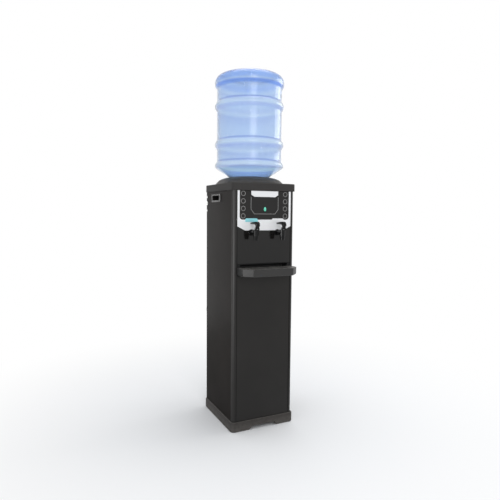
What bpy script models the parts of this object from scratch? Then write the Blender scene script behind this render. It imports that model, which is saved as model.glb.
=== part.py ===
"""Floor water cooler with two lever taps, a drip tray and an inverted bottle.

A Blender 4.5 script in metres, +Z up. The cabinet is modelled about its own centre line, with
the front at -Y, and the root empty then puts the middle of the whole object on the origin.
"""

import math

import bmesh
import bpy
from mathutils import Matrix, Vector

# General clearances and facet counts
GAP = 0.0003
OVERRUN = 0.003
SEAM = 0.0012
SMALL_RADIUS = 0.0005
SHARP_ANGLE = math.radians(35)
CORNER_STEPS = 4
FINE_STEPS = 6
EDGE_STEPS = 3
FEW_STEPS = 2
ROUND_SIDES = 30
FLOW_STEPS = 3
DISH_STEPS = 3
MEDIUM_SIDES = 20
SMALL_SIDES = 14
PIN_SIDES = 10
PARALLEL_SHARE = 0.9

# Cabinet envelope
PLINTH_TOP = 0.039
COVER_HEIGHT = 0.029
SKIN = 0.0010
REAR_FLANGE = 0.014
FLANGE_BEND = 0.003

# Moulded base plinth with a raised arch between its front feet
PLINTH_OVERHANG = 0.0055
PLINTH_RADIUS = 0.016
PLINTH_EDGE = 0.004
PLINTH_FOOT_EDGE = 0.002
PLINTH_WALL = 0.007
PLINTH_DECK = 0.006
ARCH_HALF = 0.060
ARCH_TOP_HALF = 0.048
ARCH_HEIGHT = 0.015

# Steel pan that carries the compressor
PAN_SHEET = 0.0012
PAN_RIM = 0.012
PAN_RADIUS = 0.006

# Corner posts at the front
POST_FACE = 0.0148
POST_RADIUS = 0.0140
POST_TONGUE = 0.008
POST_TONGUE_WALL = 0.002

# Front panels
PANEL_RECESS = 0.0005
PANEL_THICKNESS = 0.0030
PANEL_EDGE = 0.0008
TRAY_SLOT_BELOW = 0.004
TRAY_SLOT_ABOVE = 0.013

# Side handholds
GRIP_CENTRE_Y = 0.0335
GRIP_BELOW_COVER = 0.026
GRIP_RIM_LENGTH = 0.103
GRIP_RIM_HEIGHT = 0.032
GRIP_RIM_PROUD = 0.0018
GRIP_RIM_EDGE = 0.0008
GRIP_RIM_RADIUS = 0.006
GRIP_OPEN_LENGTH = 0.075
GRIP_OPEN_HEIGHT = 0.018
GRIP_OPEN_RADIUS = 0.004
GRIP_WALL = 0.002
GRIP_DEPTH = 0.024
GRIP_LIP = 0.0015

# Drip tray, its pocket and its grille
TRAY_SIDE_INSET = 0.015
TRAY_REACH = 0.082
TRAY_STRAIGHT = 0.050
TRAY_CUT_WIDTH = 0.032
TRAY_SHOULDER_WIDTH = 0.015
TRAY_TONGUE_DEPTH = 0.040
TRAY_BASE = 0.610
TRAY_HEIGHT = 0.029
TRAY_WALL = 0.0028
TRAY_FLOOR = 0.0025
TRAY_LEDGE = 0.0028
TRAY_LEDGE_DEPTH = 0.004
TRAY_FILLET = 0.004
TRAY_DRAFT = 0.0015
TRAY_RIM_EDGE = 0.0008
TRAY_TRAVEL = 0.115
POCKET_WALL = 0.0018
POCKET_SIDE_PLAY = 0.0010
POCKET_BACK_PLAY = 0.003
POCKET_HEAD_ROOM = 0.011
GRILLE_THICKNESS = 0.003
GRILLE_ROWS = 6
GRILLE_COLUMNS = 3
GRILLE_SLOT = 0.0045
GRILLE_PITCH = 0.0110
GRILLE_FIRST = 0.0095
GRILLE_MARGIN = 0.003
GRILLE_RIB = 0.006
GRILLE_LIFT = 0.030

# Control area trims on the fascia
FRAME_PROUD = 0.0018
FRAME_SIDE_INSET = 0.0165
FRAME_BELOW_COVER = 0.001
FRAME_SHOULDER_RISE = 0.024
FRAME_BASE_RISE = 0.0085
FRAME_CUT_WIDTH = 0.0318
FRAME_STRIP = 0.0085
FRAME_SILL_RISE = 0.0495
FRAME_INNER_RADIUS = 0.012
PLATE_HALF = 0.0575
PLATE_BELOW_COVER = 0.0015
PLATE_HEIGHT = 0.0225
PLATE_CHAMFER_X = 0.0125
PLATE_CHAMFER_Z = 0.008
PLATE_PROUD = 0.0022
SHIELD_HALF = 0.0595
SHIELD_BASE_RISE = 0.070
SHIELD_HEIGHT = 0.066
SHIELD_CHAMFER_X = 0.0145
SHIELD_CHAMFER_Z = 0.018
SHIELD_PROUD = 0.0010
LENS_X = 0.001
LENS_RISE = 0.0195
LENS_HALF_WIDTH = 0.0065
LENS_HALF_HEIGHT = 0.0105
LENS_PROUD = 0.0014
LENS_DOME = 0.0008
LENS_CROWN_SHARE = 0.6
TAB_INNER = 0.030
TAB_OUTER = 0.083
TAB_BASE_RISE = 0.041
TAB_HEIGHT = 0.0135
TAB_CORNER = 0.004
TAB_PROUD = 0.0009
TRIM_EDGE = 0.0004

# Lever taps, measured from the front of the fascia and from the tap's own axis
TAP_X = 0.056
TAP_ABOVE_TRAY = 0.119
TAP_FLANGE_RADIUS = 0.012
TAP_FLANGE_THICKNESS = 0.0035
TAP_BARREL_RADIUS = 0.0085
TAP_SHANK_RADIUS = 0.007
TAP_SHANK_LENGTH = 0.014
TAP_HOLE_PLAY = 0.0005
TAP_BARB_RADIUS = 0.0042
TAP_BARB_LENGTH = 0.008
TAP_VALVE_REACH = 0.042
TAP_VALVE_RADIUS = 0.0105
TAP_VALVE_TOP = 0.009
TAP_SPOUT_SHOULDER = -0.010
TAP_SPOUT_TOP_RADIUS = 0.0100
TAP_SPOUT_RADIUS = 0.0080
TAP_SPOUT_BASE = -0.027
TAP_BORE_RADIUS = 0.0066
TAP_SEAT = -0.007
TAP_OUTLET_RADIUS = 0.0050
TAP_INLET_RADIUS = 0.0030
BONNET_THICKNESS = 0.0035
BONNET_RADIUS = 0.0112
EAR_RADIUS = 0.0044
EAR_INNER = 0.0055
EAR_OUTER = 0.0080
PIVOT_FORWARD = 0.0080
PIVOT_Z = 0.0175
PIVOT_PIN_RADIUS = 0.0015
PIVOT_BORE_RADIUS = 0.00165
STEM_CONE_RADIUS = 0.0058
STEM_CONE_HEIGHT = 0.0055
STEM_RADIUS = 0.0018
STEM_BORE_RADIUS = 0.0024
STEM_HEAD_RADIUS = 0.0034
STEM_HEAD_THICKNESS = 0.0022
STEM_LIFT = 0.0036
LEVER_ANGLE = math.radians(25)
LEVER_HUB_RADIUS = 0.0038
LEVER_HALF_WIDTH = 0.0070
LEVER_ROOT_THICKNESS = 0.0060
LEVER_TIP_THICKNESS = 0.0036
LEVER_EDGE = 0.0009
LEVER_NOSE_REACH = 0.0086
LEVER_NOSE_TOP = 0.0010
LEVER_NOSE_BASE = -0.0014
LEVER_SLOT_HALF = 0.0023
LEVER_SIDE_PLAY = 0.0004
LEVER_CANE_START_Z = 0.0052
LEVER_BOW = 0.0068
LEVER_RISE = 0.0225
LEVER_SWEEP = 0.0510
LEVER_DROOP = 0.0040
LEVER_START_ANGLE = math.radians(-32.4)
NUT_FLATS = 0.020
NUT_THICKNESS = 0.006
NUT_SIDES = 6

# Top cover, bottle collar and bottle
COVER_OVERHANG = 0.0040
COVER_RADIUS = 0.0125
COVER_EDGE = 0.0035
COVER_WALL = 0.00525
COVER_PLATE = 0.0025
COVER_HOLE_EDGE = 0.001
COLLAR_INSET = 0.0065
COLLAR_RADIUS = 0.100
COLLAR_FOOT = 0.0025
COLLAR_WALL = 0.0025
COLLAR_RIM_RADIUS = 0.080
COLLAR_RIM_HALF = 0.0022
COLLAR_THROAT_RADIUS = 0.033
COLLAR_THROAT_RISE = 0.003
COLLAR_THROAT_DROP = 0.018
COLLAR_LIFT = 0.050
COLLAR_DOME_STEPS = 4
COLLAR_DOME_POWER_SHARE = 0.6
COLLAR_UNDER_SHARE = 2.2
BOTTLE_HEIGHT = 0.490
BOTTLE_NECK_DEPTH = 0.056
BOTTLE_WALL = 0.0022
BOTTLE_BODY_RADIUS = 0.1300
BOTTLE_BASE_RADIUS = 0.1360
BOTTLE_BASE_CORNER = 0.022
BOTTLE_BASE_RING = 0.046
BOTTLE_DISH_RADIUS = 0.098
BOTTLE_DISH_DEPTH = 0.008
BOTTLE_RIB_TOP_HEIGHT = 0.375
BOTTLE_RIB_MID_HEIGHT = 0.219
BOTTLE_RIB_HALF = 0.0215
BOTTLE_RIB_PROUD = 0.0090
BOTTLE_RIB_STEPS = 4
BOTTLE_RIB_POWER_SHARE = 1.3
BOTTLE_SHOULDER_TOP_HEIGHT = 0.158
BOTTLE_SHOULDER_HEIGHT = 0.136
BOTTLE_SHOULDER_RADIUS = 0.1397
BOTTLE_SHOULDER_EDGE_HEIGHT = 0.120
BOTTLE_SHOULDER_EDGE_RADIUS = 0.1340
BOTTLE_CONE_RADIUS = 0.0780
BOTTLE_CONE_HEIGHT = 0.0839
BOTTLE_NECK_RADIUS = 0.0280
BOTTLE_NECK_HEIGHT = 0.056
BOTTLE_NECK_WALL = 0.0030
BOTTLE_THROAT_STEPS = 3
BOTTLE_LIP_HEIGHT = 0.012
BOTTLE_LIP_PROUD = 0.0015
BOTTLE_LIFT = 0.120

# Reservoir, its baffle, insulation and evaporator
TANK_RADIUS = 0.088
TANK_WALL = 0.002
TANK_ABOVE_TRAY = 0.0525
TANK_FLANGE_WIDTH = 0.010
TANK_FLANGE = 0.0025
TANK_CORNER = 0.006
OUTLET_RADIUS = 0.0065
OUTLET_BORE = 0.0045
OUTLET_DROP = 0.024
OUTLET_PITCH = 0.030
BAFFLE_HEIGHT_SHARE = 0.479
BAFFLE_PLAY = 0.0015
BAFFLE_THICKNESS = 0.0025
BAFFLE_TUBE_RADIUS = 0.011
BAFFLE_TUBE_BORE = 0.0085
BAFFLE_HOLES = 6
BAFFLE_HOLE_RADIUS = 0.006
BAFFLE_CIRCLE_SHARE = 0.75
COIL_TUBE_RADIUS = 0.0038
COIL_TURNS = 6
COIL_STEPS = 16
COIL_SIDES = 6
COIL_PITCH = 0.0115
COIL_RISE = 0.0155
FOAM_WALL = 0.0054
FOAM_SIDE_PLAY = 0.0215
FOAM_END_PLAY = 0.035
FOAM_FLOOR = 0.0147
FOAM_HEIGHT_SHARE = 0.687
FOAM_PORT_RADIUS = 0.009
SHELF_SHEET = 0.0012
SHELF_EDGE = 0.024
SHELF_FLANGE = 0.014
SHELF_HOLE_SHARE = 0.444
HOSE_RADIUS = 0.0055
HOSE_DIP = 0.025
HOSE_RUN_BACK = 0.0145
HOSE_BEND = 0.009
HOSE_SIDES = 8

# Rear panel and refrigeration parts
REAR_PANEL_BASE = 0.250
REAR_PANEL_INSET = 0.0012
CONDENSER_STANDOFF = 0.018
CONDENSER_TUBE_RADIUS = 0.0024
CONDENSER_TUBE_SIDES = 6
CONDENSER_SIDE_INSET = 0.036
CONDENSER_BELOW_COVER = 0.019
CONDENSER_BOTTOM_RISE = 0.095
CONDENSER_RUNS = 11
CONDENSER_TURN_STEPS = 4
CONDENSER_RISER_GAP = 0.010
CONDENSER_INLET_DROP = 0.018
CONDENSER_ELBOW = 0.023
CONDENSER_BEND = 0.012
CONDENSER_TAIL = 0.014
WIRE_RADIUS = 0.0008
WIRE_SIDES = 4
WIRE_COUNT = 22
WIRE_INSET = 0.0164
WIRE_END = 0.005
WIRE_WELD_REACH = 0.007
WIRE_WELD_SLOPE = 0.008
BRACKET_SHEET = 0.0012
BRACKET_HEIGHT = 0.016
BRACKET_EDGE_INSET = 0.0004
BRACKET_FOOT = 0.013
BRACKET_ARM = 0.026
BRACKET_LOWER_TURN = 8
COMPRESSOR_X = 0.0
COMPRESSOR_Y = 0.030
COMPRESSOR_HALF_X = 0.074
COMPRESSOR_HALF_Y = 0.060
COMPRESSOR_CLEARANCE = 0.0155
COMPRESSOR_HEIGHT = 0.1375
COMPRESSOR_SEAM_RISE = 0.0635
COMPRESSOR_SEAM_PROUD = 0.0035
COMPRESSOR_SEAM_HALF = 0.003
COMPRESSOR_DISH = 0.030
LEG_REACH = 0.012
BRIDGE_HALF_X = 0.044
LEG_HALF_Y = 0.052
LEG_PLATE = 0.003
LEG_WIDTH = 0.024
LEG_RADIUS = 0.010
GROMMET_RADIUS = 0.0105
GROMMET_HEIGHT = 0.0125
GROMMET_WAIST = 0.0075
GROMMET_NECK_RADIUS = 0.0084
LINE_RADIUS = 0.003
LINE_SIDES = 8
LINE_DIP = 0.001
STUB_RADIUS = 0.0042
STUB_LENGTH = 0.012
STUB_RISE = 0.0915
STUB_X = 0.030
RELAY_WIDTH = 0.022
RELAY_DEPTH = 0.044
RELAY_HEIGHT = 0.050
RELAY_RISE = 0.0415
DRIER_RADIUS = 0.0095
DRIER_LENGTH = 0.078
DRIER_NECK = 0.010
DRIER_NECK_RADIUS = 0.0030
CAPILLARY_RADIUS = 0.0012
CAPILLARY_SIDES = 6
CAPILLARY_RISE = 0.096
CAPILLARY_PASS = 0.0083
THERMOSTAT_INSET = 0.070
THERMOSTAT_RISE = 0.038
THERMOSTAT_HALF_X = 0.019
THERMOSTAT_HALF_Z = 0.014
THERMOSTAT_DEPTH = 0.022
THERMOSTAT_BUSH_RADIUS = 0.0048
KNOB_RADIUS = 0.014
KNOB_HEIGHT = 0.013
KNOB_SKIRT = 0.003
KNOB_GRIP_RADIUS = 0.0105
KNOB_RIDGE_HALF = 0.0016
KNOB_RIDGE_PROUD = 0.0012
KNOB_SHAFT_RADIUS = 0.0030
KNOB_SHAFT_PLAY = 0.0002
KNOB_TURN = math.radians(270)
GLAND_INSET = 0.066
GLAND_RISE = 0.026
GLAND_FLANGE_RADIUS = 0.0105
GLAND_NECK_RADIUS = 0.0072
GLAND_BORE_RADIUS = 0.0040
GLAND_PROUD = 0.006

# Levels worked out from the sizes above
TRAY_TOP = TRAY_BASE + TRAY_HEIGHT
TRAY_SLOT_BASE = TRAY_BASE - TRAY_SLOT_BELOW
TRAY_SLOT_TOP = TRAY_TOP + TRAY_SLOT_ABOVE
TAP_Z = TRAY_SLOT_TOP + TAP_ABOVE_TRAY
SHIELD_BASE = TAP_Z + SHIELD_BASE_RISE
PLATE_BASE = SHIELD_BASE + SHIELD_HEIGHT
PLATE_TOP = PLATE_BASE + PLATE_HEIGHT
COVER_BASE = PLATE_TOP + PLATE_BELOW_COVER
COVER_TOP = COVER_BASE + COVER_HEIGHT
GRIP_CENTRE_Z = COVER_BASE - GRIP_BELOW_COVER
FRAME_TOP = COVER_BASE - FRAME_BELOW_COVER
FRAME_SHOULDER = TAP_Z + FRAME_SHOULDER_RISE
FRAME_BASE = TAP_Z + FRAME_BASE_RISE
FRAME_SILL = TAP_Z + FRAME_SILL_RISE
LENS_Z = SHIELD_BASE + LENS_RISE
TAB_BASE = TAP_Z + TAB_BASE_RISE
TAB_TOP = TAB_BASE + TAB_HEIGHT
COLLAR_THROAT_TOP = COVER_TOP + COLLAR_THROAT_RISE
COLLAR_THROAT_BASE = COVER_TOP - COLLAR_THROAT_DROP
BOTTLE_NECK_END = COVER_TOP - BOTTLE_NECK_DEPTH
BOTTLE_TOP = BOTTLE_NECK_END + BOTTLE_HEIGHT
BOTTLE_RIB_TOP_Z = BOTTLE_NECK_END + BOTTLE_RIB_TOP_HEIGHT
BOTTLE_RIB_MID_Z = BOTTLE_NECK_END + BOTTLE_RIB_MID_HEIGHT
BOTTLE_SHOULDER_TOP = BOTTLE_NECK_END + BOTTLE_SHOULDER_TOP_HEIGHT
BOTTLE_SHOULDER_Z = BOTTLE_NECK_END + BOTTLE_SHOULDER_HEIGHT
BOTTLE_SHOULDER_EDGE_Z = BOTTLE_NECK_END + BOTTLE_SHOULDER_EDGE_HEIGHT
BOTTLE_CONE_Z = BOTTLE_NECK_END + BOTTLE_CONE_HEIGHT
BOTTLE_NECK_TOP = BOTTLE_NECK_END + BOTTLE_NECK_HEIGHT
TANK_BASE = TRAY_SLOT_TOP + TANK_ABOVE_TRAY
TANK_TOP = COVER_TOP - COVER_PLATE - GAP
BAFFLE_Z = TANK_BASE + BAFFLE_HEIGHT_SHARE * (BOTTLE_NECK_END - TANK_BASE)
COIL_BASE = TANK_BASE + COIL_RISE
FOAM_BASE = TANK_BASE - GAP - FOAM_FLOOR
FOAM_TOP = TANK_BASE + FOAM_HEIGHT_SHARE * (TANK_TOP - TANK_BASE)
CONDENSER_TOP = COVER_BASE - CONDENSER_BELOW_COVER
CONDENSER_BOTTOM = REAR_PANEL_BASE + CONDENSER_BOTTOM_RISE
CONDENSER_INLET_Z = REAR_PANEL_BASE - CONDENSER_INLET_DROP
CONDENSER_OUTLET_Z = CONDENSER_BOTTOM - CONDENSER_ELBOW
COMPRESSOR_SHELL_BASE = PLINTH_TOP + COMPRESSOR_CLEARANCE
COMPRESSOR_SHELL_TOP = COMPRESSOR_SHELL_BASE + COMPRESSOR_HEIGHT
COMPRESSOR_SEAM_Z = COMPRESSOR_SHELL_BASE + COMPRESSOR_SEAM_RISE
STUB_Z = COMPRESSOR_SHELL_BASE + STUB_RISE
RELAY_Z = COMPRESSOR_SHELL_BASE + RELAY_RISE
THERMOSTAT_Z = REAR_PANEL_BASE + THERMOSTAT_RISE
GLAND_Z = REAR_PANEL_BASE + GLAND_RISE

# Places worked out from the sizes above
FOAM_BORE = TANK_RADIUS + TANK_WALL + SEAM + 3 * COIL_TUBE_RADIUS
FOAM_RADIUS = FOAM_BORE + FOAM_WALL
HALF_WIDTH = FOAM_RADIUS + FOAM_SIDE_PLAY + SKIN
HALF_DEPTH = FOAM_RADIUS + FOAM_END_PLAY
TANK_FLANGE_RADIUS = TANK_RADIUS + TANK_FLANGE_WIDTH
BAFFLE_HOLE_CIRCLE = TANK_RADIUS * BAFFLE_CIRCLE_SHARE
COVER_HOLE_RADIUS = TANK_RADIUS
COLD_OUTLET_X = -OUTLET_PITCH
SHELF_HALF_DEPTH = FOAM_RADIUS - SHELF_EDGE
SHELF_HOLE_RADIUS = FOAM_RADIUS * SHELF_HOLE_SHARE
COLLAR_HALF_X = HALF_WIDTH - COLLAR_INSET
COLLAR_HALF_Y = HALF_DEPTH - COLLAR_INSET
TRAY_HALF_WIDTH = HALF_WIDTH - TRAY_SIDE_INSET
TRAY_NOSE_HALF = TRAY_HALF_WIDTH - TRAY_CUT_WIDTH
TRAY_TONGUE_HALF = TRAY_HALF_WIDTH - TRAY_SHOULDER_WIDTH
GRILLE_RIBS = GRILLE_COLUMNS - 1
GRILLE_SLOT_LENGTH = (2 * (TRAY_NOSE_HALF - GRILLE_MARGIN) - GRILLE_RIBS * GRILLE_RIB) / GRILLE_COLUMNS
FRAME_OUTER_HALF = HALF_WIDTH - FRAME_SIDE_INSET
FRAME_BASE_HALF = FRAME_OUTER_HALF - FRAME_CUT_WIDTH
CONDENSER_HALF_WIDTH = HALF_WIDTH - CONDENSER_SIDE_INSET
CONDENSER_RISER_X = CONDENSER_HALF_WIDTH + CONDENSER_RISER_GAP
THERMOSTAT_X = HALF_WIDTH - THERMOSTAT_INSET
GLAND_X = GLAND_INSET - HALF_WIDTH
LEG_HALF_X = COMPRESSOR_HALF_X + LEG_REACH
FRONT_Y = -HALF_DEPTH
BACK_Y = HALF_DEPTH
PANEL_FRONT_Y = FRONT_Y + PANEL_RECESS
PANEL_BACK_Y = PANEL_FRONT_Y + PANEL_THICKNESS
PANEL_HALF = HALF_WIDTH - POST_FACE - SEAM
WALL_BASE = PLINTH_TOP + GAP
WALL_TOP = COVER_BASE - GAP
CONDENSER_Y = BACK_Y + CONDENSER_STANDOFF
REAR_REACH = CONDENSER_Y + CONDENSER_TUBE_RADIUS + GAP + 2 * WIRE_RADIUS
FRONT_REACH = HALF_DEPTH + TRAY_REACH
FRAME_SHIFT_Y = (FRONT_REACH - REAR_REACH) / 2
VALVE_Y = PANEL_FRONT_Y - TAP_VALVE_REACH
PIVOT_Y = VALVE_Y - PIVOT_FORWARD
BONNET_BASE = TAP_VALVE_TOP + GAP
BONNET_TOP = BONNET_BASE + BONNET_THICKNESS
REAR_PANEL_OUT_Y = BACK_Y - SKIN - GAP
REAR_PANEL_IN_Y = REAR_PANEL_OUT_Y - SKIN
PAN_TOP = WALL_BASE + PAN_SHEET
BEHIND_FOAM_Y = (FOAM_RADIUS + REAR_PANEL_IN_Y) / 2
DRIER_Y = REAR_REACH - DRIER_RADIUS
CONDENSER_PITCH = (CONDENSER_TOP - CONDENSER_BOTTOM) / (CONDENSER_RUNS - 1)
CONDENSER_TAIL_END = CONDENSER_OUTLET_Z - CONDENSER_TAIL
WIRE_PITCH = 2 * (CONDENSER_HALF_WIDTH - WIRE_INSET) / (WIRE_COUNT - 1)

FINISHES = {
    "charcoal_plastic": ((0.040, 0.037, 0.034), 0.42, 0.0, 1.0),
    "plinth_plastic": ((0.070, 0.060, 0.052), 0.62, 0.0, 1.0),
    "charcoal_steel": ((0.050, 0.045, 0.041), 0.36, 0.1, 1.0),
    "gloss_charcoal": ((0.032, 0.030, 0.029), 0.14, 0.0, 1.0),
    "white_plastic": ((0.830, 0.830, 0.835), 0.35, 0.0, 1.0),
    "cyan_plastic": ((0.330, 0.680, 0.740), 0.30, 0.0, 1.0),
    "teal_lens": ((0.110, 0.560, 0.370), 0.20, 0.0, 1.0),
    "black_plastic": ((0.012, 0.012, 0.013), 0.28, 0.0, 1.0),
    "soft_black": ((0.020, 0.020, 0.021), 0.80, 0.0, 1.0),
    "blue_bottle": ((0.420, 0.580, 0.900), 0.12, 0.0, 0.45),
    "tank_plastic": ((0.780, 0.800, 0.800), 0.40, 0.0, 1.0),
    "foam": ((0.860, 0.850, 0.820), 0.90, 0.0, 1.0),
    "clear_silicone": ((0.700, 0.730, 0.740), 0.55, 0.0, 1.0),
    "zinc_steel": ((0.560, 0.570, 0.570), 0.38, 0.9, 1.0),
    "copper": ((0.640, 0.300, 0.170), 0.34, 1.0, 1.0),
    "black_enamel": ((0.016, 0.016, 0.017), 0.34, 0.2, 1.0),
}


def clear_scene():
    """Empties the file of objects and meshes."""
    for obj in list(bpy.data.objects):
        bpy.data.objects.remove(obj, do_unlink=True)
    for mesh in list(bpy.data.meshes):
        bpy.data.meshes.remove(mesh)


def finish(name):
    """The material of one finish, made the first time it is asked for."""
    found = bpy.data.materials.get(name)
    if found:
        return found
    colour, roughness, metallic, alpha = FINISHES[name]
    made = bpy.data.materials.new(name)
    made.use_nodes = True
    shader = made.node_tree.nodes["Principled BSDF"]
    shader.inputs["Base Color"].default_value = (*colour, 1.0)
    shader.inputs["Roughness"].default_value = roughness
    shader.inputs["Metallic"].default_value = metallic
    shader.inputs["Alpha"].default_value = alpha
    made.diffuse_color = (*colour, alpha)
    return made


def empty(name, at=(0, 0, 0), parent=None):
    """A holder for pieces, placed in cabinet coordinates."""
    made = bpy.data.objects.new(name, None)
    bpy.context.scene.collection.objects.link(made)
    made.parent = parent
    made["place"] = tuple(at)
    start = Vector(parent["place"]) if parent else Vector((0, 0, 0))
    made.location = Vector(at) - start
    return made


def add(name, shape, look, holder, at=(0, 0, 0)):
    """Makes an object of the shape, whose own origin lies at a place in cabinet coordinates."""
    bmesh.ops.recalc_face_normals(shape, faces=shape.faces)
    mesh = bpy.data.meshes.new(name)
    shape.to_mesh(mesh)
    shape.free()
    made = bpy.data.objects.new(name, mesh)
    bpy.context.scene.collection.objects.link(made)
    made.parent = holder
    made.location = Vector(at) - Vector(holder["place"])
    made.data.materials.append(finish(look))
    made.data.shade_smooth()
    made.data.set_sharp_from_angle(angle=SHARP_ANGLE)
    return made


def tool(name, shape, holder, at=(0, 0, 0)):
    """A cutter or an added form, used only by Booleans."""
    made = add(name, shape, "zinc_steel", holder, at)
    made.hide_render = True
    made.display_type = "WIRE"
    return made


def combine(target, other, operation):
    """Adds a Boolean to the target."""
    step = target.modifiers.new(other.name, "BOOLEAN")
    step.object = other
    step.operation = operation
    step.solver = "EXACT"


def soften(target, width, segments=1):
    """Rounds the target's sharp edges."""
    step = target.modifiers.new("rounded edges", "BEVEL")
    step.width = width
    step.segments = segments
    step.limit_method = "ANGLE"
    step.angle_limit = SHARP_ANGLE
    step.use_clamp_overlap = True
    step.harden_normals = False


def on_plane(outline, plane, level):
    """The points of a flat outline, set at a level of the third axis."""
    if plane == "xy":
        return [(u, v, level) for u, v in outline]
    if plane == "xz":
        return [(u, level, v) for u, v in outline]
    return [(level, u, v) for u, v in outline]


def lofted(rings, closed=False):
    """A skin through rings of equal count, where one point makes a pole."""
    shape = bmesh.new()
    rows = [[shape.verts.new(point) for point in ring] for ring in rings]
    pairs = list(zip(rows, rows[1:]))
    if closed:
        pairs.append((rows[-1], rows[0]))
    for first, second in pairs:
        count = max(len(first), len(second))
        for i in range(count):
            j = (i + 1) % count
            corners = [first[i % len(first)], first[j % len(first)]]
            corners += [second[j % len(second)], second[i % len(second)]]
            distinct = list(dict.fromkeys(corners))
            shape.faces.new(distinct)
    if not closed:
        for row in (rows[0], rows[-1]):
            if len(row) > 2:
                shape.faces.new(row)
    return shape


def prism(outline, low, high, plane="xy"):
    """A flat outline pushed from one level to another."""
    return lofted([on_plane(outline, plane, low), on_plane(outline, plane, high)])


def joined(shapes):
    """Several closed shapes in one mesh, for a cutter."""
    whole = bmesh.new()
    for shape in shapes:
        mesh = bpy.data.meshes.new("part of a tool")
        shape.to_mesh(mesh)
        shape.free()
        whole.from_mesh(mesh)
        bpy.data.meshes.remove(mesh)
    return whole


def circle(radius, sides, centre=(0, 0)):
    """Points of a circle, half a step round from the first axis."""
    turn = 2 * math.pi / sides
    return [
        (
            centre[0] + radius * math.cos((i + 0.5) * turn),
            centre[1] + radius * math.sin((i + 0.5) * turn),
        )
        for i in range(sides)
    ]


def rounded_rectangle(half_u, half_v, radius, steps=CORNER_STEPS, centre=(0, 0)):
    """Points of a rectangle with round corners, anticlockwise."""
    radius = max(min(radius, half_u - SMALL_RADIUS, half_v - SMALL_RADIUS), SMALL_RADIUS)
    points = []
    for quarter, (su, sv) in enumerate(((1, 1), (-1, 1), (-1, -1), (1, -1))):
        cu = centre[0] + su * (half_u - radius)
        cv = centre[1] + sv * (half_v - radius)
        for step in range(steps + 1):
            angle = (quarter + step / steps) * math.pi / 2
            points.append((cu + radius * math.cos(angle), cv + radius * math.sin(angle)))
    return points


def blended(first, second, share):
    """Points part of the way from one outline to another of the same count."""
    return [
        (a[0] + (b[0] - a[0]) * share, a[1] + (b[1] - a[1]) * share)
        for a, b in zip(first, second)
    ]


def filleted(corners, radius, steps=FEW_STEPS):
    """An anticlockwise polygon with an arc at each outward corner."""
    points = []
    count = len(corners)
    for i in range(count):
        here = Vector(corners[i])
        back = (Vector(corners[i - 1]) - here).normalized()
        ahead = (Vector(corners[(i + 1) % count]) - here).normalized()
        if ahead.cross(back) < 0:
            points.append(tuple(here))
            continue
        half = math.acos(max(-1.0, min(1.0, back.dot(ahead)))) / 2
        reach = radius / math.tan(half)
        middle = here + (back + ahead).normalized() * radius / math.sin(half)
        start = here + back * reach - middle
        end = here + ahead * reach - middle
        sweep = math.atan2(start.x * end.y - start.y * end.x, start.dot(end))
        for step in range(steps + 1):
            angle = sweep * step / steps
            cos, sin = math.cos(angle), math.sin(angle)
            points.append(
                (
                    middle.x + start.x * cos - start.y * sin,
                    middle.y + start.x * sin + start.y * cos,
                )
            )
    return points


def inset(corners, distance):
    """An anticlockwise polygon drawn in by a distance, with mitred corners."""
    points = []
    count = len(corners)
    for i in range(count):
        here = Vector(corners[i])
        before = (here - Vector(corners[i - 1])).normalized()
        after = (Vector(corners[(i + 1) % count]) - here).normalized()
        normal_a = Vector((-before.y, before.x))
        normal_b = Vector((-after.y, after.x))
        mitre = (normal_a + normal_b) / (1 + normal_a.dot(normal_b))
        points.append(tuple(here + mitre * distance))
    return points


def strip(path, thickness):
    """The outline of a bent sheet whose outer face follows an open path."""
    other = []
    last = len(path) - 1
    for i, point in enumerate(path):
        here = Vector(point)
        before = (here - Vector(path[i - 1])).normalized() if i else None
        after = (Vector(path[i + 1]) - here).normalized() if i < last else None
        before = before or after
        after = after or before
        normal_a = Vector((-before.y, before.x))
        normal_b = Vector((-after.y, after.x))
        mitre = (normal_a + normal_b) / (1 + normal_a.dot(normal_b))
        other.append(tuple(here + mitre * thickness))
    return list(path) + other[::-1]


def arc(centre, radius, start, end, steps):
    """Points of an arc, with both ends."""
    return [
        (
            centre[0] + radius * math.cos(start + (end - start) * i / steps),
            centre[1] + radius * math.sin(start + (end - start) * i / steps),
        )
        for i in range(steps + 1)
    ]


def turned(profile, sides=MEDIUM_SIDES, axis="Z"):
    """A solid of revolution: an open profile starts and ends on the axis, others close on themselves."""
    on_axis = profile[0][0] == 0 and profile[-1][0] == 0
    rings = [
        [(0, 0, height)] if radius == 0 else on_plane(circle(radius, sides), "xy", height)
        for radius, height in profile
    ]
    shape = lofted(rings, closed=not on_axis)
    if axis == "Y":
        bmesh.ops.transform(shape, matrix=Matrix.Rotation(math.pi / 2, 4, "X"), verts=shape.verts)
    if axis == "X":
        bmesh.ops.transform(shape, matrix=Matrix.Rotation(math.pi / 2, 4, "Y"), verts=shape.verts)
    return shape


def rod(radius, low, high, sides=SMALL_SIDES, axis="Z"):
    """A plain round bar. Along Y its heights count towards the front."""
    return turned([(0, low), (radius, low), (radius, high), (0, high)], sides, axis)


def moved(shape, offset):
    """The shape, shifted."""
    bmesh.ops.translate(shape, vec=offset, verts=shape.verts)
    return shape


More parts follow.
